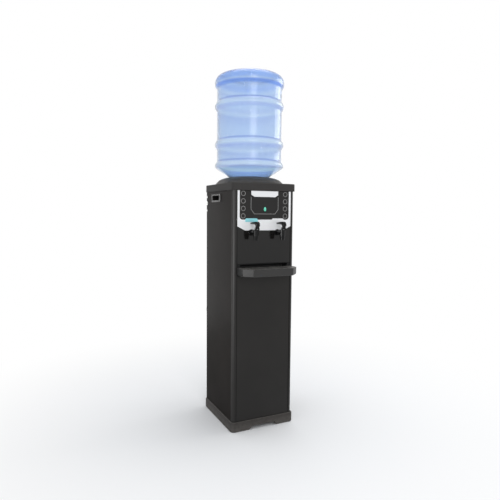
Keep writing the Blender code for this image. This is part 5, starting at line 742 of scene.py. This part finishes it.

# %% [markdown]
# The bottle is not glass but tinted polycarbonate that has been washed and carried many times, so its body
# has gone milky and only the cone, which nobody rubs, is still clear. The hoops show in the picture as bands:
# a dark line where the wall turns out, a pale crest, and a lavender line underneath. These bands are painted
# light put into the wall's colour: the dark line and the lavender line are painted shade, and the pale crest
# is a painted highlight. A group finds those three places from the way the wall faces and from its distance
# to the axis, and the base and its ring from their height. Nothing in it depends on the camera, so the bands
# stay on the hoops from every side.

# %% Effect: painted shade and highlight on the hoops
hoops, hoops_in, hoops_out = effect("hoops with painted shade and highlight", {"Axis Y": 0.0, "Wall radius": 0.13},
                                    ("Crease shade", "Crest highlight", "Under shade", "Base", "Base ring"))
hoop_place = hoops.nodes.new("ShaderNodeSeparateXYZ")
hoops.links.new(hoops.nodes.new("ShaderNodeTexCoord").outputs["Object"], hoop_place.inputs[0])
hoop_facing = hoops.nodes.new("ShaderNodeSeparateXYZ")
hoops.links.new(hoops.nodes.new("ShaderNodeNewGeometry").outputs["Normal"], hoop_facing.inputs[0])
offset = math_node(hoops, "SUBTRACT", hoop_place.outputs["Y"], hoops_in.outputs["Axis Y"])
squared = math_node(hoops, "MULTIPLY_ADD", offset, offset,
                    math_node(hoops, "MULTIPLY", hoop_place.outputs["X"], hoop_place.outputs["X"]))
proud = math_node(hoops, "SUBTRACT", math_node(hoops, "SQRT", squared), hoops_in.outputs["Wall radius"])
# Painted light: the upward-facing flank near the wall gives a mask for a painted dark shade line, the
# downward-facing flank a mask for a painted lavender shade line, and the crest far from the wall a mask for a
# painted highlight.
upward_face = ramped(hoops, hoop_facing.outputs["Z"], 0.06, 0.30)
downward_face = ramped(hoops, hoop_facing.outputs["Z"], -0.10, -0.42)
on_wall = ramped(hoops, proud, 0.0034, 0.0010)
hoops.links.new(math_node(hoops, "MULTIPLY", upward_face, on_wall), hoops_out.inputs["Crease shade"])
hoops.links.new(ramped(hoops, proud, 0.0026, 0.0060), hoops_out.inputs["Crest highlight"])
hoops.links.new(math_node(hoops, "MULTIPLY", downward_face, ramped(hoops, proud, 0.0, 0.0015)),
                hoops_out.inputs["Under shade"])
hoops.links.new(ramped(hoops, hoop_place.outputs["Z"], 1.352, 1.362), hoops_out.inputs["Base"])
hoops.links.new(ramped(hoops, hoop_place.outputs["Z"], 1.320, 1.330), hoops_out.inputs["Base ring"])
print("effect:", hoops.name)

# %% [markdown]
# Both finishes of the bottle share one recipe. Part of the light passes through, and part is scattered by the
# milky wall. The colour is a deeper blue on the base, and the wall's colour also carries painted light:
# painted shade in the creases, a painted lavender shade under each hoop, a darker painted shade band under
# the base ring, and a pale painted highlight on each crest. The fine upright scuffs on the wall come from the
# drawn lines, turned to stand upright. The index of refraction is lower than the plastic's own 1.58, which
# keeps the far hoops in their places behind the near ones.

# %% The bottle's finishes
BOTTLE_IOR = 1.20


def bottle_wall(name, passing, colour, second, roughness):
    """Tinted bottle plastic that lets a share of the light pass, with painted shade and highlights on the
    hoops.
    """
    made, shader = blank(name)
    links = made.node_tree.links
    shader.inputs["Transmission Weight"].default_value = passing
    shader.inputs["IOR"].default_value = BOTTLE_IOR
    drift = placed(made, grain, Grain_per_metre=220.0, Drift_per_metre=9.0, Polish_per_metre=35.0)
    scuffs = placed(made, drawn, Across_Z=0.12, Lines_per_metre=260.0)
    rings = placed(made, hoops, Axis_Y=AXIS_Y, Wall_radius=BODY_RADIUS)
    tint_and_painted_light = colour_mix(made, spread(made, drift.outputs["Tone"], -0.3, 1.3), colour, second)
    # Painted highlight: the crest of each hoop is made paler.
    tint_and_painted_light = colour_mix(made, rings.outputs["Crest highlight"], tint_and_painted_light, (0.80, 0.91, 1.0))
    tint_and_painted_light = colour_mix(made, rings.outputs["Base"], tint_and_painted_light, (0.54, 0.71, 1.0))
    # Painted shade: a lavender line under each hoop.
    under = spread(made, rings.outputs["Under shade"], 0.0, 0.42)
    tint_and_painted_light = colour_mix(made, under, tint_and_painted_light, (0.46, 0.55, 0.96))
    # Painted shade: a darker blue band under the base ring.
    ring_painted_shade = math_node(made.node_tree, "MULTIPLY", rings.outputs["Under shade"], rings.outputs["Base ring"])
    tint_and_painted_light = colour_mix(made, ring_painted_shade, tint_and_painted_light, (0.36, 0.56, 1.0))
    # Painted shade: a dark line on the upper flank of each hoop.
    crease_shade = spread(made, rings.outputs["Crease shade"], 0.0, 0.75)
    tint_and_painted_light = colour_mix(made, crease_shade, tint_and_painted_light, (0.30, 0.42, 0.82))
    links.new(tint_and_painted_light, shader.inputs["Base Color"])
    haze = spread(made, scuffs.outputs["Height"], roughness - 0.05, roughness + 0.07)
    links.new(haze, shader.inputs["Roughness"])
    shader.inputs["Coat Weight"].default_value = 0.8
    shader.inputs["Coat Roughness"].default_value = 0.20
    bumped(made, shader, scuffs.outputs["Shade"], 0.0006, 0.3)
    bottle.data.materials.append(made)
    return made


milky = bottle_wall("milky bottle wall", 0.87, (0.68, 0.82, 1.0), (0.73, 0.84, 1.0), 0.24)
clear = bottle_wall("clear bottle cone", 0.97, (0.66, 0.84, 1.0), (0.72, 0.88, 1.0), 0.10)
print("bottle finishes:", milky.name, "and", clear.name)

# %% [markdown]
# Many of the fine pieces are one small section carried along a route: the outline and the rings on the
# fascia, the rims of the grips, the dark seams and the tray's dark pads, which are painted shade, and the
# condenser's tube and wires. One helper does them all. At each point it stands the section square to the
# route, and in a bend it stretches the section so that the bar keeps its thickness. A curve object with a
# bevel could draw them too, but it gives less say over how the section is turned.

# %% A helper that carries a section along a route
def boxed(value, power):
    """Pushes a cosine or sine outwards, for a power below 1, so that an oval nears a box."""
    return math.copysign(abs(value) ** power, value)


def carried(name, route, across, sizes, around=12, closed=False, square=2.0):
    """An oval section along a 3-D route. Sizes are its half sizes across and in depth. Above 2,
    square turns the oval towards a rounded box."""
    count = len(route)
    route = [Vector(point) for point in route]
    across = Vector(across).normalized()
    half_across, half_deep = sizes
    shape = bmesh.new()
    rings = []
    for i, point in enumerate(route):
        before = route[(i - 1) % count] if closed or i else point
        after = route[(i + 1) % count] if closed or i < count - 1 else point
        first, last = point - before, after - point
        first = (first if first.length > 1e-9 else last).normalized()
        last = (last if last.length > 1e-9 else first).normalized()
        along = (first + last).normalized()
        side = (across - along * across.dot(along)).normalized()
        depth = along.cross(side)
        stretch = 1 / max(0.5, first.dot(along))
        in_bend = last - first
        bends_across = in_bend.length > 1e-6 and abs(side.dot(in_bend)) > abs(depth.dot(in_bend))
        wide = half_across * (stretch if bends_across else 1)
        deep = half_deep * (1 if bends_across else stretch)
        section = [(boxed(c, 2 / square) * wide, boxed(n, 2 / square) * deep)
                   for c, n in (turn(step, around) for step in range(around))]
        rings.append([shape.verts.new(point + side * u + depth * v) for u, v in section])
    return stitched(name, shape, rings + rings[:1] if closed else rings, capped=not closed)


def joined(name, parts):
    """Several mesh objects as one object."""
    shape = bmesh.new()
    for part in parts:
        shape.from_mesh(part.data)
        bpy.data.objects.remove(part, do_unlink=True)
    return as_object(name, shape)


def finished(piece, finish, body, sharp=None):
    """Gives a new piece its finish and the body that it moves with."""
    piece.data.materials.append(finish)
    if sharp:
        piece.data.set_sharp_from_angle(angle=math.radians(sharp))
    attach(piece, body)
    return piece


def rounded_loop(half_a, half_b, radius, steps=6):
    """A rounded rectangle as a closed list of (a, b) points."""
    points = []
    for corner, (sign_a, sign_b) in enumerate(((1, 1), (-1, 1), (-1, -1), (1, -1))):
        for step in range(steps + 1):
            angle = math.pi / 2 * (corner + step / steps)
            points.append((sign_a * (half_a - radius) + radius * math.cos(angle),
                           sign_b * (half_b - radius) + radius * math.sin(angle)))
    return points


print("helpers: boxed, carried, joined, finished and rounded_loop")

# %% [markdown]
# The fascia carries only marks that any cooler has: a thin grey outline round the shield and a
# column of plain rings on each side. They are printed thick enough to catch light, so they are
# real low mouldings here, half sunk in the panel. An image laid on the panel could show them
# too, but it would blur up close and be missing from the exported shapes.

# %% Marks on the fascia
shield_low, shield_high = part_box("control_shield")
SHIELD_FACE = shield_low[1]
FASCIA_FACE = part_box("tap_fascia")[0][1]
OUTLINE_INSET, CUT_X, CUT_Z = 0.0012, 0.0140, 0.0175
MARK_DEPTH = 0.0004
outline_half = shield_high[0] - OUTLINE_INSET
outline_low, outline_high = shield_low[2] + OUTLINE_INSET, shield_high[2] + 0.0004
half_line = [(-outline_half, outline_high), (-outline_half, outline_low + CUT_Z),
             (-outline_half + CUT_X, outline_low)]
route = [(x, SHIELD_FACE, z) for x, z in half_line + [(-x, z) for x, z in half_line[::-1]]]
outline = carried("shield_outline", route, (0, 1, 0), (MARK_DEPTH, 0.0010), around=8, square=3.0)
finished(outline, silver_print, "cabinet", 30)

RING_X, RING_TOP, RING_PITCH, RING_RADIUS = 0.0900, 0.9185, 0.0280, 0.0084
RING_ROWS, RING_STEPS = 4, 32
for side, sign in (("left", -1), ("right", 1)):
    parts = []
    for row in range(RING_ROWS):
        middle_z = RING_TOP - row * RING_PITCH
        loop = [(sign * RING_X + RING_RADIUS * c, FASCIA_FACE, middle_z + RING_RADIUS * n)
                for c, n in (turn(step, RING_STEPS) for step in range(RING_STEPS))]
        parts.append(carried("ring", loop, (0, 1, 0), (MARK_DEPTH, 0.0011), around=8, closed=True))
    finished(joined("fascia_rings_" + side, parts), silver_print, "cabinet")
print("marks: 1 outline and", 2 * RING_ROWS, "rings")

# %% [markdown]
# The little light is a clear domed lens in a dark bezel. Light that falls into such a lens comes
# back out at its rim, so a dome looks right where a flat disc would look painted. The dome is a
# profile swept round and squeezed into an oval, and it takes the measured oval's place.

# %% Indicator lens and its bezel
lens_low, lens_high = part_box("indicator_lens")
lens_x, _, lens_z = middle_of("indicator_lens")
lens_half_x, lens_half_z = (lens_high[0] - lens_low[0]) / 2, (lens_high[2] - lens_low[2]) / 2
LENS_SHARE, DOME_FOOT, DOME_RISE = 0.80, 0.0004, 0.0015


def oval_cap(name, profile, around=40):
    """A profile of (share of the half size, distance in front of the shield) swept round an oval."""
    shape = bmesh.new()
    rings = [[shape.verts.new((lens_x + share * lens_half_x * c, SHIELD_FACE - front,
                               lens_z + share * lens_half_z * n))
              for c, n in (turn(step, around) for step in range(around))]
             for share, front in profile]
    return stitched(name, shape, rings, capped=True)


crown = [math.pi / 2 * step / 7 for step in range(7)]
dome_profile = [(LENS_SHARE, 0.0002)]
dome_profile += [(LENS_SHARE * math.cos(a), DOME_FOOT + DOME_RISE * math.sin(a)) for a in crown]
bezel_profile = [(1.0, 0.0001), (1.0, 0.0007), (0.95, 0.0011), (0.86, 0.0011), (LENS_SHARE, 0.0005)]
indicator = finished(oval_cap("indicator_dome", dome_profile), teal_lens, "cabinet")
finished(oval_cap("indicator_bezel", bezel_profile), black_plastic, "cabinet", 40)
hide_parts("indicator_lens")
print("lens", [round(2000 * LENS_SHARE * half, 1) for half in (lens_half_x, lens_half_z)], "mm")

# %% [markdown]
# Each lever has a soft sleeve over its thin core. In the picture it is a thick black crook that
# narrows to a point where a cup pushes it. The line below repeats the core's own middle: a rising
# bow, then a sweep back that droops. The sleeve keeps the core's outer line and grows inwards, so
# that it stays clear of the frame when the lever is pushed.

# %% The lever's middle line
PIVOT_Y, PIVOT_Z = middle_of("tap_pin_cold")[1], 0.7885
BOW, RISE_START, RISE_TOP = 0.0068, 0.0052, 0.0225
SWEEP, DROOP, START_ANGLE = 0.0510, 0.0040, math.radians(-32.4)
CORE_ROOT, CORE_TIP = 0.0060, 0.0036
LINE_STEPS = 18


def lever_line():
    """The core's middle line as (y, z) from the pin, from its root to its tip."""
    line = []
    for step in range(LINE_STEPS + 1):
        angle = START_ANGLE + (math.pi / 2 - START_ANGLE) * step / LINE_STEPS
        rise = RISE_START + (RISE_TOP - RISE_START) * (math.sin(angle) + 1) / 2
        line.append((-BOW * math.cos(angle), rise))
    top_y, top_z = line[-1]
    for step in range(1, LINE_STEPS + 1):
        share = step / LINE_STEPS
        line.append((top_y + (SWEEP - BOW) * share, top_z - DROOP * share ** 2))
    return line


def at_share(line, share):
    """The point at a share of a line's points, in a straight line between its two neighbours."""
    place = share * (len(line) - 1)
    step = min(int(place), len(line) - 2)
    rest = place - step
    return [line[step][i] + (line[step + 1][i] - line[step][i]) * rest for i in (0, 1)]


print("lever line:", len(lever_line()), "points")

# %% [markdown]
# The sleeve is wide and flat, so a round section won't do. Each ring is laid between the outer line, a skin's
# thickness outside the core, and an inner line drawn from the picture. The ring is squared off a little, and
# it narrows over the second half towards the tip.

# %% Lever sleeves
SKIN, SLEEVE_HALF, TIP_NARROWING, SLEEVE_SIDES, SQUARING = 0.0004, 0.0086, 0.0012, 28, 0.7
INNER_START = 0.03
inner_line = [(0.0002, 0.0056), (0.0007, 0.0078), (0.0019, 0.0098), (0.0042, 0.0116), (0.0080, 0.0130),
              (0.0130, 0.0139), (0.0200, 0.0146), (0.0280, 0.0150), (0.0360, 0.0151), (0.0440, 0.0150)]
for tap in taps:
    middle_x = middle_of("tap_lever_" + tap)[0]
    line = lever_line()
    shape = bmesh.new()
    rings = []
    for i in range(1, len(line) - 1):
        share = i / (len(line) - 1)
        ahead = (Vector(line[i + 1]) - Vector(line[i - 1])).normalized()
        reach = (CORE_ROOT + (CORE_TIP - CORE_ROOT) * share) / 2 + SKIN
        outer = Vector((line[i][0] - ahead.y * reach, line[i][1] + ahead.x * reach))
        inner = Vector(at_share(inner_line, max(0.0, share - INNER_START) / (1 - INNER_START)))
        middle, arm = (outer + inner) / 2, (outer - inner) / 2
        wide = SLEEVE_HALF - TIP_NARROWING * max(0.0, share - 0.5) / 0.5
        ring = []
        for step in range(SLEEVE_SIDES):
            c, n = turn(step, SLEEVE_SIDES)
            aside = boxed(c, SQUARING) * wide
            at = middle + arm * boxed(n, SQUARING)
            ring.append(shape.verts.new((middle_x + aside, PIVOT_Y + at.x, PIVOT_Z + at.y)))
        rings.append(ring)
    sleeve = stitched("lever_sleeve_" + tap, shape, rings, capped=True)
    finished(sleeve, black_plastic, "lever_" + tap, 50)
print("lever sleeves:", len(taps))

# %% [markdown]
# The grip's rim catches a thin line of light all round, which is how the hole shows on a dark
# panel. It is a rounded bar that follows the cup's own box, half sunk in the panel. A bevel on
# the hole's edge would catch light too, but the measured panel is left as it is.

# %% Grip rims
RIM_INSET, RIM_CORNER = 0.0022, 0.0050
for side, outer in (("left", 0), ("right", 1)):
    low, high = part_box("grip_cup_" + side)
    face_x = (low, high)[outer][0]
    _, middle_y, middle_z = middle_of("grip_cup_" + side)
    loop = rounded_loop((high[1] - low[1]) / 2 - RIM_INSET, (high[2] - low[2]) / 2 - RIM_INSET, RIM_CORNER)
    route = [(face_x, middle_y + a, middle_z + b) for a, b in loop]
    rim = carried("grip_rim_" + side, route, (1, 0, 0), (0.0008, 0.0015), around=8, closed=True)
    finished(rim, rim_plastic, "cabinet")
print("grip rims: 2")

# %% [markdown]
# Where the side meets the back, three zinc screws hold the side panel, and the middle one has a
# broad washer. A screw is a domed head with a cross recess pressed in. A boolean could cut the
# recess, but it leaves ragged faces on so small a piece. Here the recess is one ring of vertices
# that reaches far out on the four arms and stays near the middle between them.

# %% Side screws
DOME, RIM_HEIGHT, WASHER_STAND = 0.0016, 0.0006, 0.0012
RECESS, SHALLOW = 0.0010, 0.0002
ARM_HALF_ANGLE, ARM_REACH, BETWEEN_REACH = 0.35, 0.34, 0.13


def screw(name, place, sign, radius, washer):
    """A domed screw on a side panel, with a cross recess and, under it, a washer or none."""
    shape = bmesh.new()
    around = 32
    stand = WASHER_STAND if washer else 0.0
    profile = [(washer, -0.0002), (washer, 0.0009), (washer - 0.0004, stand)] if washer else []
    profile += [(radius, stand), (radius, stand + RIM_HEIGHT)]
    profile += [(radius * math.cos(a), stand + RIM_HEIGHT + DOME * math.sin(a)) for a in (0.3, 0.6, 0.9, 1.2)]
    crown = stand + RIM_HEIGHT + DOME
    quarter_turn = math.pi / 2
    rings = [[(out, radius_here * c, radius_here * n) for c, n in (turn(k, around) for k in range(around))]
             for radius_here, out in profile]
    recess = []
    for k in range(around):
        c, n = turn(k, around)
        from_arm = abs((2 * math.pi * k / around + quarter_turn / 2) % quarter_turn - quarter_turn / 2)
        on_arm = from_arm < ARM_HALF_ANGLE
        reach = radius * (ARM_REACH if on_arm else BETWEEN_REACH)
        recess.append((crown - (RECESS if on_arm else SHALLOW), reach * c, reach * n))
    rings += [recess, [(crown - RECESS, 0, 0)]]
    rings = [[shape.verts.new((place[0] + sign * out, place[1] + b, place[2] + c)) for out, b, c in ring]
             for ring in rings]
    return stitched(name, shape, rings)


SCREW_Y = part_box("side_panel_left")[1][1] - 0.0085
SCREWS = ((0.9110, 0.0040, 0), (0.8860, 0.0052, 0.0080), (0.8550, 0.0040, 0))
for side, outer, sign in (("left", 0, -1), ("right", 1, 1)):
    face_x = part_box("side_panel_" + side)[outer][0]
    heads = [screw("head", (face_x, SCREW_Y, height), sign, radius, washer)
             for height, radius, washer in SCREWS]
    finished(joined("side_screws_" + side, heads), zinc, "cabinet", 35)
print("side screws:", 2 * len(SCREWS))

# %% [markdown]
# A dark line runs down both sides of the front, where the panels meet the rounded posts, and another runs
# round the cabinet where it sits on the plinth. The joints are real, but their darkness is the shade that
# falls into them, and here it is painted shade: small rounded bars of black rubber, sunk in the joints,
# because a line painted on a flat face would look wrong from the side. Both ends of the tray get dull black
# plates, which are painted shade too, where the tray's ends sit in shade in the slot.

# %% Seams and tray pads, painted shade
PROUD = 0.0002
front_low, front_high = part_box("front_lower_panel")
seam_y, seam_top = front_low[1] - 0.0001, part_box("tap_fascia")[1][2]
# Painted shade: a black rubber bar in the joint beside each post.
for side, sign in (("left", -1), ("right", 1)):
    seam_x = sign * (front_high[0] + 0.0004)
    ends = [(seam_x, seam_y, front_low[2] + 0.0004), (seam_x, seam_y, seam_top)]
    seam_shade = carried("post_seam_" + side, ends, (1, 0, 0), (0.0011, 0.0009), around=8, square=3.0)
    finished(seam_shade, rubber, "cabinet", 50)

# Painted shade: a black rubber bar round the joint above the plinth.
side_low, side_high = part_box("side_panel_left")
front_y, back_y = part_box("corner_post_left")[0][1] - PROUD, side_high[1]
seam_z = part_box("base_plinth")[1][2] + 0.0011
loop = [(a, (front_y + back_y) / 2 + b, seam_z)
        for a, b in rounded_loop(-side_low[0] + PROUD, (back_y - front_y) / 2, 0.0120)]
plinth_seam = carried("plinth_seam", loop, (0, 0, 1), (0.0012, 0.0008), around=8, closed=True)
finished(plinth_seam, rubber, "cabinet", 50)

# Painted shade: a dull black plate on each end of the tray.
PAD_START, PAD_END, PAD_HALF = 0.0015, 0.0480, 0.0120
tray_low, tray_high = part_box("drip_tray")
pad_z = middle_of("drip_tray")[2] + 0.0010
for side, face_x in (("left", tray_low[0]), ("right", tray_high[0])):
    ends = [(face_x, front_low[1] - PAD_START, pad_z), (face_x, front_low[1] - PAD_END, pad_z)]
    shade_pad = carried("tray_pad_" + side, ends, (0, 0, 1), (PAD_HALF, 0.0005), around=12, square=6.0)
    finished(shade_pad, pocket_black, "tray", 50)
print("seams: 3, tray pads: 2")

# %% [markdown]
# The condenser is what makes a cooler's back: one tube runs to and fro, and fine wires welded to
# both its faces spread the heat. The measured solid keeps the tube six-sided to stay light. This
# one follows the same serpentine with a round tube, round wires and a weld bead at every place
# where a wire crosses the tube, because those beads are what the eye finds up close.

# %% Condenser
tube_low, tube_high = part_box("condenser")
TUBE_Y = middle_of("condenser")[1]
TUBE_RADIUS = 0.0024
RUNS, TUBE_TOP, TUBE_BOTTOM = 11, tube_high[2] - 0.005, 0.3450
RISER_X, SPAN, INLET_Z, OUTLET_Z = -0.1045, 0.0945, tube_low[2], 0.3220
RISER_BEND, OUTLET_DROP = 0.012, 0.007
PITCH = (TUBE_TOP - TUBE_BOTTOM) / (RUNS - 1)


def bend(centre_x, centre_z, radius, start, end, steps=12):
    """Points of an arc in the condenser's plane, angles in turns of pi."""
    angles = [math.pi * (start + (end - start) * k / steps) for k in range(steps + 1)]
    return [(centre_x + radius * math.cos(a), TUBE_Y, centre_z + radius * math.sin(a)) for a in angles]


route = [(RISER_X, TUBE_Y, INLET_Z)]
route += bend(RISER_X + RISER_BEND, TUBE_TOP - RISER_BEND, RISER_BEND, 1.0, 0.5)
for run in range(RUNS - 1):
    way = -1 if run % 2 else 1
    level = TUBE_TOP - PITCH / 2 - run * PITCH
    route += bend(way * (SPAN - PITCH / 2), level, PITCH / 2, 0.5, 1.5 if run % 2 else -0.5)
elbow = TUBE_BOTTOM - OUTLET_Z
drier_y = middle_of("filter_drier")[1]
route += bend(SPAN - elbow, OUTLET_Z, elbow, 0.5, 0.0)
route += [(SPAN, drier_y, OUTLET_Z - drop) for drop in (OUTLET_DROP, 2 * OUTLET_DROP)]
parts = [carried("serpentine", route, (0, 1, 0), (TUBE_RADIUS, TUBE_RADIUS), around=16)]
print("serpentine:", RUNS, "runs,", len(route), "points")

# %% [markdown]
# The wires are straight, so each one is a section carried between two points. Every weld is a
# small squashed ball where a wire crosses a run. All the balls go into one bmesh, which is far
# faster than an object for each.

# %% The condenser's wires and welds
WIRES, WIRE_RADIUS, WIRE_SPAN, WIRE_OVERHANG = 22, 0.0008, SPAN - 0.0164, 0.005
BEAD = Matrix.Diagonal((0.0015, 0.0009, 0.0011, 1))
beads = bmesh.new()
for face_side in (-1, 1):
    wire_y = TUBE_Y + face_side * (TUBE_RADIUS + WIRE_RADIUS * 0.7)
    for wire in range(WIRES):
        x = -WIRE_SPAN + 2 * WIRE_SPAN * wire / (WIRES - 1)
        ends = [(x, wire_y, TUBE_TOP + WIRE_OVERHANG), (x, wire_y, TUBE_BOTTOM - WIRE_OVERHANG)]
        parts.append(carried("wire", ends, (1, 0, 0), (WIRE_RADIUS, WIRE_RADIUS), around=8))
        for run in range(RUNS):
            spot = Matrix.Translation((x, wire_y - face_side * 0.0005, TUBE_TOP - run * PITCH))
            bmesh.ops.create_icosphere(beads, subdivisions=1, radius=1.0, matrix=spot @ BEAD)
parts.append(as_object("weld beads", beads))
condenser = finished(joined("condenser_wire_on_tube", parts), enamel, "cabinet", 50)
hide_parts("condenser")
print("condenser:", RUNS, "runs,", 2 * WIRES, "wires,", 2 * WIRES * RUNS, "welds")

# %% [markdown]
# Copper and silicone tubes are bent, never folded, and the measured tubes have few sides. A
# subdivision surface rounds them. It is a modifier, so the mesh underneath stays as it came.

# %% Round the tubes
tubes = ("discharge_line", "suction_line", "capillary_tube", "evaporator_coil", "hose_cold", "hose_natural")
for label in tubes:
    smooth = node[label].modifiers.new("round tube", "SUBSURF")
    smooth.levels = 1
    smooth.render_levels = 1
    node[label].data.shade_smooth()
print("rounded tubes:", len(tubes))

# %% [markdown]
# The two narrow strips are there for the cabinet alone: they would draw a second bright line on
# the bottle. Weaker strips would lose that line, but the cabinet's own lines with it. Light
# linking keeps a lamp to the pieces of one collection, here every piece but the bottle's shell.

# %% Keep the strips to the cabinet
lit = bpy.data.collections.new("pieces the strips light")
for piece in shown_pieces():
    if piece.name != bottle.name:
        lit.objects.link(piece)
for strip in (post_strip, rear_strip):
    strip.light_linking.receiver_collection = lit

# %% Sizes of the solids and of the dressed object
dressed_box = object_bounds()
for axis, letter in enumerate("xyz"):
    solid = solid_box[1][axis] - solid_box[0][axis]
    shown = dressed_box[1][axis] - dressed_box[0][axis]
    print(letter, "solids", round(solid, 4), "dressed", round(shown, 4))
